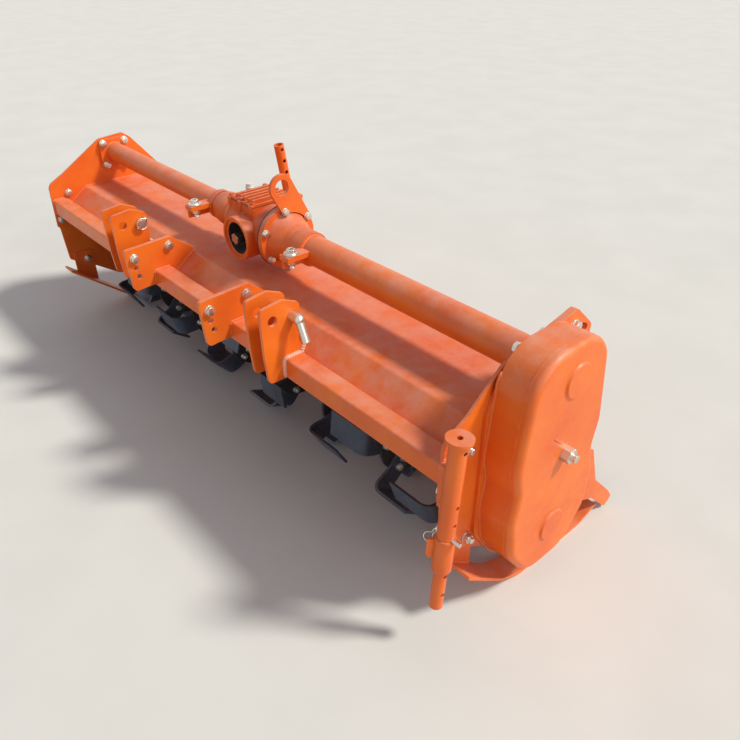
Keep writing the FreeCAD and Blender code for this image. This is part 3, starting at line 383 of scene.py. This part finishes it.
def smooth_path(points, parts):
    """Catmull-Rom curve through the points."""
    path = []
    padded = [points[0] * 2 - points[1]] + list(points) + [points[-1] * 2 - points[-2]]
    for before, start, end, after in zip(padded, padded[1:], padded[2:], padded[3:]):
        for index in range(parts):
            t = index / parts
            path.append(0.5 * ((2 * start) + (end - before) * t
                               + (2 * before - 5 * start + 4 * end - after) * t * t
                               + (3 * start - before - 3 * end + after) * t * t * t))
    path.append(points[-1])
    return path


def tube(mesh, path, radius, steps=10, closed=False, swell=None):
    """Round bar along a path; the radius is in millimetres, and swell changes it from point to point."""
    rings = []
    count = len(path)
    side = None
    for index, point in enumerate(path):
        before = path[index - 1] if index > 0 or closed else point
        after = path[(index + 1) % count] if index < count - 1 or closed else point
        way = (after - before).normalized()
        if side is None:
            side = way.orthogonal().normalized()
        side = (side - way * side.dot(way)).normalized()
        other = way.cross(side)
        size = radius / 1000 * (1 if swell is None else swell(index))
        rings.append([mesh.verts.new(point + (side * spot.x + other * spot.y) * size)
                      for spot in round_points(1, steps)])
    if closed:
        rings.append(rings[0])
    join_rings(mesh, rings)
    if not closed:
        mesh.faces.new(rings[0])
        mesh.faces.new(rings[-1][::-1])


# Distance along a bead from scale to scale
WELD_STEP = 2.6


def weld(mesh, points, size, closed=False):
    """Weld bead with its row of scales along straight runs between the points."""
    path = []
    runs = list(zip(points, points[1:]))
    if closed:
        runs.append((points[-1], points[0]))
    for start, end in runs:
        count = max(1, round((end - start).length * 1000 / WELD_STEP))
        path += [start.lerp(end, index / count) for index in range(count)]
    if not closed:
        path.append(points[-1])
    last = len(path) - 1

    def scales(index):
        tail = 1.0 if closed else min(1.0, 0.45 + 0.2 * min(index, last - index))
        return tail * (0.9 + 0.12 * (index % 3) + 0.05 * math.sin(index * 1.7))

    tube(mesh, path, size, 8, closed, scales)


def weld_across(mesh, x, rows, size, closed=False):
    """Weld bead at one x through rows of (y, height)."""
    weld(mesh, [at(x, y, up) for y, up in rows], size, closed)


def circle(centre, way, radius, count=40):
    turned = facing(centre, way)
    return [turned @ spot for spot in round_points(radius, count)]


def split_pin(mesh, middle, below, above, eye_up, radius):
    """Upright split pin through the middle: how far its legs reach down and up, and its eye on top."""
    bar(mesh, middle - UPWARD * (below / 1000), middle + UPWARD * (above / 1000), radius)
    tube(mesh, circle(middle + UPWARD * (eye_up / 1000), RIGHTWARD, 3, 16), radius - 0.2, 6, True)


def rounded(rows, parts=8):
    """Closed outline in (y, height) from rows of y, height and corner radius."""
    path = []
    for index, (y, up, radius) in enumerate(rows):
        here = Vector((y, up))
        to_before = (Vector(rows[index - 1][:2]) - here).normalized()
        to_after = (Vector(rows[(index + 1) % len(rows)][:2]) - here).normalized()
        half = to_before.angle(to_after) / 2
        centre = here + (to_before + to_after).normalized() * (radius / math.sin(half))
        first = here + to_before * (radius / math.tan(half)) - centre
        turn = (math.pi - 2 * half) * (1 if to_before.cross(to_after) < 0 else -1)
        path += [centre + Matrix.Rotation(turn * number / parts, 2) @ first for number in range(parts + 1)]
    return path


def slab(mesh, outline, thickness):
    """Flat piece whose outline is a list of corners, with its thickness as a vector."""
    near = [mesh.verts.new(corner) for corner in outline]
    far = [mesh.verts.new(corner + thickness) for corner in outline]
    mesh.faces.new(near)
    mesh.faces.new(far[::-1])
    join_rings(mesh, [near, far])


SHARP = math.radians(34)


def done(name, mesh, body, material):
    bmesh.ops.recalc_face_normals(mesh, faces=mesh.faces)
    for face in mesh.faces:
        face.smooth = True
    for line in mesh.edges:
        if len(line.link_faces) == 2:
            line.smooth = line.calc_face_angle(0) < SHARP
    data = bpy.data.meshes.new(name)
    mesh.to_mesh(data)
    mesh.free()
    piece = bpy.data.objects.new(name, data)
    bpy.context.scene.collection.objects.link(piece)
    data.materials.append(MATERIALS[material])
    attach(piece, body)


# Bolts of the cross tubes' end flanges
mesh = bmesh.new()
for y, up in ((-46, 41), (46, 41), (-46, -46), (46, -46)):
    left_bolt(mesh, y, up, 16, TUBE_FLANGE_T)
    right_bolt(mesh, y, up, 16, TUBE_FLANGE_T)
done("tube_end_bolts", mesh, "frame", "zinc_steel")

# Bolts at the beam's ends, in the mounting plate's slot and before it, and through the skids' lugs
BEAM_END_BOLTS = ((-225, -126), (-278, -227))
mesh = bmesh.new()
for y, up in BEAM_END_BOLTS:
    left_bolt(mesh, y, up, 16)
    right_bolt(mesh, y, up, 16)
nut(mesh, at(RIGHT_OUTSIDE, *BEAM_END_BOLTS[0]), RIGHTWARD, 16)
for y, up, size in ((112, 52, 16), (-40, 44, 10)):
    bolt(mesh, at(CASE_BACK, y, up), RIGHTWARD, size)
    nut(mesh, at(RIGHT_INSIDE, y, up), LEFTWARD, size)
for y, up in ((-214, -419), (190, -480)):
    left_bolt(mesh, y, up, 16, SKID_LUG_T)
for y, up in ((-196, -419), (190, -480)):
    right_bolt(mesh, y, up, 16, SKID_LUG_T)
    nut(mesh, at(RIGHT_OUTSIDE, y, up), RIGHTWARD, 16)
done("side_plate_bolts", mesh, "frame", "zinc_steel")

# Gearbox: the right bearing flange's bolts, of which the first two also hold the lever plate
GEARBOX_RIGHT = 70.0
FLANGE_FACE = GEARBOX_RIGHT + 24.0
LEVER_FACE = FLANGE_FACE + 10.0
FLANGE_BOLT_R = 87.0
mesh = bmesh.new()
for index in range(6):
    angle = math.radians(38 + 60 * index)
    face = LEVER_FACE if index < 2 else FLANGE_FACE
    bolt(mesh, at(face, FLANGE_BOLT_R * math.cos(angle), FLANGE_BOLT_R * math.sin(angle)), RIGHTWARD, 12)
done("bearing_flange_bolts", mesh, "frame", "zinc_steel")

# Gearbox: bolts of its cover and left flange, two plugs, and the bosses under the cover's bolts
COVER_SEAT = 84.0
COVER_TOP = COVER_SEAT + 8.0
COVER_LEFT = -128
COVER_RIGHT = 8
COVER_FRONT = -66
COVER_REAR = 78
COVER_BOLT_IN = 9
COVER_BOLT_X = (COVER_LEFT + COVER_BOLT_IN, (COVER_LEFT + COVER_RIGHT) / 2, COVER_RIGHT - COVER_BOLT_IN)
COVER_BOLT_Y = (COVER_FRONT + COVER_BOLT_IN, COVER_REAR - COVER_BOLT_IN)
GEARBOX_LEFT = -140.0
LEFT_RING = GEARBOX_LEFT - 36.0
LEFT_RING_BOLT_R = 53.5
mesh = bmesh.new()
for x in COVER_BOLT_X:
    for y in COVER_BOLT_Y:
        bolt(mesh, at(x, y, COVER_TOP), UPWARD, 8)
for index in range(6):
    angle = math.radians(60 * index)
    y, up = LEFT_RING_BOLT_R * math.cos(angle), LEFT_RING_BOLT_R * math.sin(angle)
    bolt(mesh, at(LEFT_RING, y, up), LEFTWARD, 8)
for place, way in ((at(-100, 79, 20), BACKWARD), (at(0, 0, -79), DOWNWARD)):
    plug = facing(place, way)
    washer(mesh, plug, 13, 2)
    hexagon(mesh, plug, 19, 2, 9)
done("gearbox_bolts", mesh, "frame", "cast_paint")

mesh = bmesh.new()
for x in COVER_BOLT_X:
    for y in (COVER_BOLT_Y[0] - 6, COVER_BOLT_Y[1] + 6):
        lathe(mesh, facing(at(x, y, COVER_SEAT - 30), UPWARD),
              [(0, 0), (3, 0), (9.5, 12), (9.5, 36.5), (8.5, 37.5), (0, 37.5)], 20)
done("cover_bosses", mesh, "frame", "cast_paint")

# Cover gasket, a dark ring painted as the shade in the gap between housing and bearing flange, and the seal
# round the input shaft with a dark lining painted as the shade on the bore's wall
GASKET_OUT = 0.4
GASKET_CORNERS = (
    (COVER_LEFT - GASKET_OUT, COVER_FRONT - GASKET_OUT), (COVER_RIGHT + GASKET_OUT, COVER_FRONT - GASKET_OUT),
    (COVER_RIGHT + GASKET_OUT, COVER_REAR + GASKET_OUT), (COVER_LEFT - GASKET_OUT, COVER_REAR + GASKET_OUT),
)
mesh = bmesh.new()
tube(mesh, [at(x, y, COVER_SEAT) for x, y in GASKET_CORNERS], 1.1, 6, True)
# Dark ring that paints the shadowed gap between housing and bearing flange
tube(mesh, circle(at(GEARBOX_RIGHT + 1, 0, 0), RIGHTWARD, 95.5, 72), 4.2, 8, True)
# Seal at the bore's bottom; the profile's long part is a dark lining painted as the shade on the nose's bore
# wall
lathe(mesh, facing(at(HITCH, -46, INPUT_UP), FORWARD),
      [(26, 0), (26, 6), (29, 9), (45, 9), (49.8, 12), (49.8, 56), (50.9, 57), (50.9, 0)], 48)
done("gearbox_seals_and_shade", mesh, "frame", "rubber_and_shade")

# White breather: a hexagon foot and the cap's lower rim
mesh = bmesh.new()
breather = facing(at(-115, 8, COVER_TOP), UPWARD)
hexagon(mesh, breather, 21, 0, 6)
lathe(mesh, breather, [(7, 8), (12.6, 8), (13.2, 9), (13.2, 12), (12.4, 13), (7, 13)], 28)
done("breather_rim", mesh, "frame", "white_cap")

# Mast lugs: their through bolts; tube brackets: dished washers with hollow nuts, and nuts below
BRACKET_HOLE_Y = -92.0
BRACKET_TOP = 18.0
BRACKET_BOTTOM = BRACKET_TOP - 16.0
mesh = bmesh.new()
for side in (-1, 1):
    lug = HITCH + side * MAST_LUG
    for y, up in ((-355, -83), (-232, -72)):
        bolt(mesh, at(lug + MAST_LUG_HALF_T, y, up), RIGHTWARD, 16)
        nut(mesh, at(lug - MAST_LUG_HALF_T, y, up), LEFTWARD, 16, 12)
    bracket = HITCH + side * TUBE_BRACKET
    top = facing(at(bracket, BRACKET_HOLE_Y, BRACKET_TOP), UPWARD)
    lathe(mesh, top, [(0, 0), (20, 0), (23, 2.5), (22.4, 4), (15, 3), (13.5, 5), (0, 5)], 28)
    lathe(mesh, top, [(13.2, 4), (14, 5), (14, 15), (12.4, 17), (9, 17), (8.2, 16), (8.2, 9), (0, 9)], 6)
    nut(mesh, at(bracket, BRACKET_HOLE_Y, BRACKET_BOTTOM), DOWNWARD, 16, 12)
done("hitch_bolts", mesh, "frame", "zinc_steel")

# Linch pins through the inner ends of the stored hitch pins: shank, head and spring ring
HITCH_PIN_TIP = LINK_MIDDLE - CLEVIS_HALF_GAP - CLEVIS_T - 16.0
HITCH_PIN_PLACE = (-259.0, -26.0)
SHANK_WAY = Vector((0, 0.77, 0.64))
mesh = bmesh.new()
for side in (-1, 1):
    tip = side * HITCH_PIN_TIP
    middle = at(tip + side * 7, *HITCH_PIN_PLACE)
    bar(mesh, middle + SHANK_WAY * 0.014, middle - SHANK_WAY * 0.022, 4)
    lathe(mesh, facing(middle + SHANK_WAY * 0.0135, SHANK_WAY),
          [(0, 0), (7, 0), (8, 1.5), (8, 8), (6.5, 10), (0, 10)], 20)
    tube(mesh, circle(at(tip + side * 1.5, *HITCH_PIN_PLACE), RIGHTWARD, 18, 36), 1.9, 8, True)
done("linch_pins", mesh, "frame", "zinc_steel")

# Welds of the clevises, over the beam's top and down its front; the outer beads are broad and pale
OVER_BEAM = ((-237, -143), (-286, -143), (-292, -145), (-294, -151))
mesh = bmesh.new()
for side in (-1, 1):
    for edge in (-1, 1):
        inner = side * LINK_MIDDLE + edge * CLEVIS_HALF_GAP
        outer = inner + edge * (CLEVIS_T + 1)
        weld_across(mesh, inner, OVER_BEAM + ((-294, -201),), 3.6)
        weld_across(mesh, outer, ((-237, -88), (-224, -112)) + OVER_BEAM + ((-294, -201),), 6.6)
done("clevis_welds", mesh, "frame", "weld_paint")

# Welds of the mast lugs, the cross tubes, the beam's ends and the hood
HOOD_LINE = ((330, -282), (176, -115), (-150, -115), (-231, -176))
BEAM_OUTLINE = (
    (BEAM_FRONT + BEAM_CORNER, BEAM_TOP), (BEAM_REAR - BEAM_CORNER, BEAM_TOP),
    (BEAM_REAR, BEAM_TOP - BEAM_CORNER), (BEAM_REAR, BEAM_BOTTOM + BEAM_CORNER),
    (BEAM_REAR - BEAM_CORNER, BEAM_BOTTOM), (BEAM_FRONT + BEAM_CORNER, BEAM_BOTTOM),
    (BEAM_FRONT, BEAM_BOTTOM + BEAM_CORNER), (BEAM_FRONT, BEAM_TOP - BEAM_CORNER),
)
STITCHES = 11
STITCH_FIRST = -1040
STITCH_STEP = 200
STITCH_LENGTH = 46
mesh = bmesh.new()
for side in (-1, 1):
    for x in (HITCH + side * MAST_LUG - MAST_LUG_HALF_T, HITCH + side * MAST_LUG + MAST_LUG_HALF_T):
        weld_across(mesh, x, OVER_BEAM + ((-294, -190),), 3.8)
        weld_across(mesh, x, ((-231, -176), (-150, -115), (-147, -115)), 3.2)
for x, radius in ((LEFT_INSIDE + TUBE_FLANGE_T, LEFT_TUBE_R), (LEFT_TUBE_END, LEFT_TUBE_R),
                  (RIGHT_TUBE_END, RIGHT_TUBE_R), (RIGHT_INSIDE - TUBE_FLANGE_T, RIGHT_TUBE_R)):
    weld(mesh, circle(at(x, 0, 0), RIGHTWARD, radius, 48), 3.8, True)
for x in (LEFT_INSIDE, RIGHT_INSIDE):
    weld_across(mesh, x, BEAM_OUTLINE, 4, True)
    weld_across(mesh, x, HOOD_LINE, 3.2)
for index in range(STITCHES):
    start = STITCH_FIRST + STITCH_STEP * index
    weld(mesh, [at(start, -232, -178), at(start + STITCH_LENGTH, -232, -178)], 4)
done("frame_welds", mesh, "frame", "orange_paint")

# Gear case: the bead round its foot on the mounting plate, which leaves the top free, a tack beside
# the idler's nut, and the seam of its cover. Rows as the case has them: y, height, corner radius.
CASE_OUTLINE = [
    (104, 92, 96), (-146, 92, 104), (-172, -182, 120), (-155, -246, 50), (-168, -330, 110), (-150, -450, 100),
    (-76, -556, 90), (76, -556, 90), (154, -450, 100), (152, -330, 110), (132, -246, 50), (144, -170, 120),
]
BEAD_TOP = 40
case_edge = rounded(CASE_OUTLINE)
mesh = bmesh.new()
# The first point belongs to the bead's far end, and would take it across the case
foot = [(y, up) for y, up in case_edge if up < BEAD_TOP][1:]
weld_across(mesh, CASE_BACK, foot, 4)
weld_across(mesh, CASE_COVER_FACE, ((-54, -132), (-20, -161)), 2.6)
tube(mesh, [at(CASE_SEAM, y, up) for y, up in case_edge], 1.1, 6, True)
done("gear_case_welds", mesh, "frame", "orange_paint")

# Rotor bearings: bolts round their flanges, nuts outside the left plate, and grease nipples
BEARING_BOLT_R = 59.0
mesh = bmesh.new()
for index in range(4):
    angle = math.radians(45 + 90 * index)
    y, up = BEARING_BOLT_R * math.cos(angle), ROTOR_UP + BEARING_BOLT_R * math.sin(angle)
    left_bolt(mesh, y, up, 12, BEARING_FLANGE_T)
    right_bolt(mesh, y, up, 12, BEARING_FLANGE_T)
for x in (LEFT_INSIDE + BEARING_FLANGE_T / 2, RIGHT_INSIDE - BEARING_FLANGE_T / 2):
    nipple = facing(at(x, 0, ROTOR_UP + BEARING_FLANGE_R), UPWARD)
    hexagon(mesh, nipple, 8, -1, 6)
    lathe(mesh, nipple, [(2.6, 4), (2.6, 8), (1.8, 9.5), (3.2, 11), (3.2, 13), (2, 14.5), (0, 14.5)], 12)
done("bearing_bolts", mesh, "frame", "zinc_steel")

# Skids: beads between their lugs and soles. Rows: the lug's face, front y and height, rear y and height.
SKID_BEADS = (
    (LEFT_INSIDE + SKID_LUG_T, -266, -459, -190, -521),
    (LEFT_INSIDE + SKID_LUG_T, 152, -637, 230, -637),
    (RIGHT_INSIDE, -230, -489, -162, -545),
    (RIGHT_INSIDE, 152, -637, 230, -637),
)
mesh = bmesh.new()
for x, front, front_up, rear, rear_up in SKID_BEADS:
    weld(mesh, [at(x, front, front_up), at(x, rear, rear_up)], 3.4)
done("skid_welds", mesh, "frame", "orange_paint")

# Parking stand. It leans about the middle of its top, so that its foot comes forward.
SLEEVE_R = 21.0
STAND_X = RIGHT_OUTSIDE + 17.0 + SLEEVE_R
STAND_Y = -294.0
STAND_TOP = -39.0
STAND_LEAN = math.radians(4.4)
STAND_WAY = Vector((0, -math.sin(STAND_LEAN), -math.cos(STAND_LEAN)))
STAND_DISC_T = 8.0
SOCKET_TOP = 269.0
STAND_PIN_DOWN = SOCKET_TOP - 5.5
STAND_PIN_END = -SLEEVE_R - 7.0
PAD_FRONT = STAND_Y - 16.0
PAD_REAR = STAND_Y + 14.0
PAD_TOP = BEAM_TOP + 20.0
PAD_BOTTOM = BEAM_BOTTOM - 20.0


def on_stand(x, y, down):
    """Place by how far it is from the stand's middle line to the right and back, and down from its top."""
    back = Vector((0, math.cos(STAND_LEAN), -math.sin(STAND_LEAN)))
    return at(STAND_X + x, STAND_Y, STAND_TOP) + back * (y / 1000) + STAND_WAY * (down / 1000)


mesh = bmesh.new()
pad_line = ((-297, PAD_TOP), (PAD_REAR, PAD_TOP), (PAD_REAR, PAD_BOTTOM), (-297, PAD_BOTTOM))
weld_across(mesh, RIGHT_OUTSIDE, pad_line, 3.4)
weld_across(mesh, STAND_X - 20, ((PAD_FRONT, PAD_TOP - 1), (PAD_FRONT, PAD_BOTTOM + 2)), 3.4)
weld(mesh, circle(on_stand(0, 0, STAND_DISC_T + 1), STAND_WAY, SLEEVE_R + 0.5, 40), 2.6, True)
weld(mesh, circle(on_stand(0, 0, SOCKET_TOP), STAND_WAY, SLEEVE_R + 0.6, 40), 2.4, True)
EAR_WAY = Vector((-0.66, -0.75, 0))
EAR_THICKNESS = Vector((0.75, -0.66, 0)) * 0.006
# Rows: distance out from the stand's middle line, and down from its top
EAR_CORNERS = ((19, 273), (40, 273), (40, 316), (34, 328), (19, 328))
slab(mesh, [on_stand(0, 0, down) + EAR_WAY * (out / 1000) - EAR_THICKNESS / 2 for out, down in EAR_CORNERS],
     EAR_THICKNESS)
done("stand_welds_and_ear", mesh, "frame", "orange_paint")

# Spring clip in the inner end of the stand's locking pin: two strands that meet in a loop.
# Rows: distance along the clip from where it passes the pin, and out from the clip's middle line.
CLIP_NECK = on_stand(STAND_PIN_END + 1.5, 0, STAND_PIN_DOWN)
CLIP_WAY = Vector((-0.231, -0.805, -0.547)).normalized()
CLIP_FACE = Vector((0.624, -0.553, 0.553))
CLIP_ACROSS = CLIP_FACE.cross(CLIP_WAY).normalized()
CLIP_ROWS = ((-14, 3.2), (-6, 4.4), (0, 2.6), (6, 3.6), (12, 2.2), (17, 5), (21, 9), (27, 10.6), (33, 7.5))
CLIP_LENGTH = 35.5
clip_upper = [CLIP_NECK + (CLIP_WAY * along + CLIP_ACROSS * out) / 1000 for along, out in CLIP_ROWS]
clip_lower = [CLIP_NECK + (CLIP_WAY * along - CLIP_ACROSS * out) / 1000 for along, out in CLIP_ROWS[::-1]]
clip_end = [CLIP_NECK + CLIP_WAY * (CLIP_LENGTH / 1000)]
mesh = bmesh.new()
tube(mesh, smooth_path(clip_upper + clip_end + clip_lower, 5), 1.4, 8)
done("stand_clip", mesh, "frame", "zinc_steel")

# Hinges: a washer and a split pin at both ends of each rod
HINGE_STATIONS = (-900, -300, 300, 900)
HINGE_HALF = 92
ROD_Y = 352.0
ROD_UP = -300.0
mesh = bmesh.new()
for station in HINGE_STATIONS:
    for side in (-1, 1):
        washer_place = at(station + side * (HINGE_HALF + 0.2), ROD_Y, ROD_UP)
        open_washer(mesh, facing(washer_place, RIGHTWARD * side), 8.2, 13.5, 2)
        split_pin(mesh, at(station + side * (HINGE_HALF + 4), ROD_Y, ROD_UP), 13, 10, 12.5, 1.4)
done("hinge_split_pins", mesh, "frame", "zinc_steel")

# Rear board: beads along the strut's ears, and the eye pin's washers and split pins
BOARD_LEAN = math.radians(15)
BOARD_TOP_BEHIND_ROD = 18.0
BOARD_TOP_UNDER_ROD = 12.0
STRUT_X = -440.0
STRUT_LEAN = math.radians(8.7)
EYE_DOWN = 137.0
EYE_OUT = 30.0
STRUT_EAR_INSIDE = 22
STRUT_EAR_OUTSIDE = 30


def on_board(x, down, out):
    """Place by how far it is down the board from its top edge and out behind its rear face."""
    return at(x, ROD_Y + BOARD_TOP_BEHIND_ROD + down * math.sin(BOARD_LEAN) + out * math.cos(BOARD_LEAN),
              ROD_UP - BOARD_TOP_UNDER_ROD - down * math.cos(BOARD_LEAN) + out * math.sin(BOARD_LEAN))


mesh = bmesh.new()
for offset in (-STRUT_EAR_OUTSIDE, -STRUT_EAR_INSIDE, STRUT_EAR_INSIDE, STRUT_EAR_OUTSIDE):
    weld(mesh, [on_board(STRUT_X + offset, 88, 0.5), on_board(STRUT_X + offset, 186, 0.5)], 3)
done("board_welds", mesh, "board", "orange_paint")
mesh = bmesh.new()
for side in (-1, 1):
    eye = on_board(STRUT_X + side * (STRUT_EAR_OUTSIDE + 0.2), EYE_DOWN, EYE_OUT)
    open_washer(mesh, facing(eye, RIGHTWARD * side), 8.1, 14, 2.2)
    split_pin(mesh, on_board(STRUT_X + side * 35, EYE_DOWN, EYE_OUT), 13, 10, 12.5, 1.5)
done("eye_pin_clips", mesh, "board", "zinc_steel")

# Strut: split pins in the ends of its stop pin, and the beads of its guide on the hood.
# The stop pin lies on the guide's plate, as far up the leaned strut as that takes.
GUIDE_UP = -100.0
GUIDE_T = 8.0
STOP_PIN_R = 7.0
STOP_PIN_HALF = 36.0
STOP_CLEARANCE = 0.3
GUIDE_INSIDE = 34
GUIDE_OUTSIDE = 42
eye_place = on_board(STRUT_X, EYE_DOWN, EYE_OUT)
stop_rise = TUBE_UP + (GUIDE_UP + GUIDE_T + STOP_PIN_R + STOP_CLEARANCE) / 1000 - eye_place.z
stop_middle = eye_place + Vector((0, -stop_rise * math.tan(STRUT_LEAN), stop_rise))
mesh = bmesh.new()
for side in (-1, 1):
    split_pin(mesh, stop_middle + RIGHTWARD * (side * (STOP_PIN_HALF - 3.5) / 1000), 12, 9.5, 12, 1.4)
done("stop_pin_clips", mesh, "strut", "zinc_steel")
mesh = bmesh.new()
for offset in (-GUIDE_OUTSIDE, -GUIDE_INSIDE, GUIDE_INSIDE, GUIDE_OUTSIDE):
    weld_across(mesh, STRUT_X + offset, ((314, -264), (218, -161)), 3)
done("guide_welds", mesh, "frame", "orange_paint")

# Rotor: two bolts through each tine, and the welds of each flange. A flange whose tines would come up
# against the right bearing has them on its left side only.
FLANGES = 8
FLANGE_STEP = 262.0
FLANGE_T = 10
FLANGE_STAGGER = 24
TINE_T = 8
TINE_FOOT = 140
ROTOR_TUBE_R = 40
TINE_BOLT_R = (78, 108)
mesh = bmesh.new()
welds = bmesh.new()
for index in range(FLANGES):
    x = FLANGE_STEP * (index - (FLANGES - 1) / 2)
    for edge in (-FLANGE_T / 2, FLANGE_T / 2):
        weld(welds, circle(at(x + edge, 0, ROTOR_UP), RIGHTWARD, ROTOR_TUBE_R, 44), 4, True)
    for hand in (1, -1):
        if x + hand * (TINE_FOOT + FLANGE_T) > RIGHT_INSIDE - BEARING_T:
            continue
        for number in range(3):
            angle = math.radians(FLANGE_STAGGER * index + 120 * number + (60 if hand < 0 else 0))
            for reach in TINE_BOLT_R:
                y, up = -reach * math.sin(angle), reach * math.cos(angle) + ROTOR_UP
                bolt(mesh, at(x + hand * (FLANGE_T / 2 + TINE_T), y, up), RIGHTWARD * hand, 12)
                nut(mesh, at(x - hand * FLANGE_T / 2, y, up), RIGHTWARD * -hand, 12, 6)
done("tine_bolts", mesh, "rotor", "zinc_steel")
done("rotor_welds", welds, "rotor", "black_paint")

# Floor
floor_data = bpy.data.meshes.new("studio_floor")
floor_mesh = bmesh.new()
bmesh.ops.create_grid(floor_mesh, x_segments=2, y_segments=2, size=60)
floor_mesh.to_mesh(floor_data)
floor_mesh.free()
floor = bpy.data.objects.new("studio_floor", floor_data)
bpy.context.scene.collection.objects.link(floor)
floor_material = bpy.data.materials.new("studio_floor_finish")
floor_material.use_nodes = True
floor_tree = floor_material.node_tree
floor_shader = floor_tree.nodes["Principled BSDF"]
floor_tone = blended(floor_tree, spread(floor_tree, noise(floor_tree, 3.0, 4.0), 0.35, 0.65, 0, 1),
                     (0.66, 0.655, 0.645), (0.69, 0.685, 0.675))
floor_tree.links.new(floor_tone, floor_shader.inputs["Base Color"])
floor_shader.inputs["Roughness"].default_value = 0.85
floor_data.materials.append(floor_material)

# World: even light on the machine, and a pale backdrop for what the camera sees, also in gloss
world = bpy.data.worlds.new("studio")
bpy.context.scene.world = world
world.use_nodes = True
sky = world.node_tree
lighting = sky.nodes["Background"]
lighting.inputs["Color"].default_value = (0.96, 0.95, 1.0, 1.0)
lighting.inputs["Strength"].default_value = 0.35
backdrop = add(sky, "ShaderNodeBackground")
backdrop.inputs["Color"].default_value = (0.93, 0.93, 0.93, 1.0)
backdrop.inputs["Strength"].default_value = 0.9
rays = add(sky, "ShaderNodeLightPath").outputs
seen = joined(sky, "MAXIMUM", rays["Is Camera Ray"], rays["Is Glossy Ray"])
choice = add(sky, "ShaderNodeMixShader")
sky.links.new(joined(sky, "MAXIMUM", seen, rays["Is Transmission Ray"]), choice.inputs["Fac"])
sky.links.new(lighting.outputs["Background"], choice.inputs[1])
sky.links.new(backdrop.outputs["Background"], choice.inputs[2])
sky.links.new(choice.outputs["Shader"], sky.nodes["World Output"].inputs["Surface"])


def lamp(name, way, strength, softness, colour):
    """Distant lamp that shines along way; its softness is an angle in degrees."""
    data = bpy.data.lights.new(name, "SUN")
    data.energy = strength
    data.angle = math.radians(softness)
    data.color = colour
    made = bpy.data.objects.new(name, data)
    bpy.context.scene.collection.objects.link(made)
    made.rotation_euler = Vector(way).to_track_quat("-Z", "Y").to_euler()


lamp("key", (-0.50, -0.46, -0.73), 3.0, 9, (1.0, 0.975, 0.86))
lamp("side", (-1.0, -0.06, -0.3), 0.75, 30, (1.0, 0.98, 0.93))
lamp("fill", (-0.05, 1.0, -0.4), 0.15, 40, (0.96, 0.97, 1.0))

# Camera, as fitted to the photograph
camera_data = bpy.data.cameras.new("camera")
camera_data.sensor_width = 36
camera_data.lens = 33.953
camera_data.clip_start = 0.05
camera = bpy.data.objects.new("camera", camera_data)
camera.location = (1.75881, -1.19010, 1.49028)
camera.rotation_euler = [math.radians(angle) for angle in (56.4684, 0.2428, 48.4493)]
bpy.context.scene.collection.objects.link(camera)
bpy.context.scene.camera = camera
bpy.context.scene.view_settings.view_transform = "Standard"
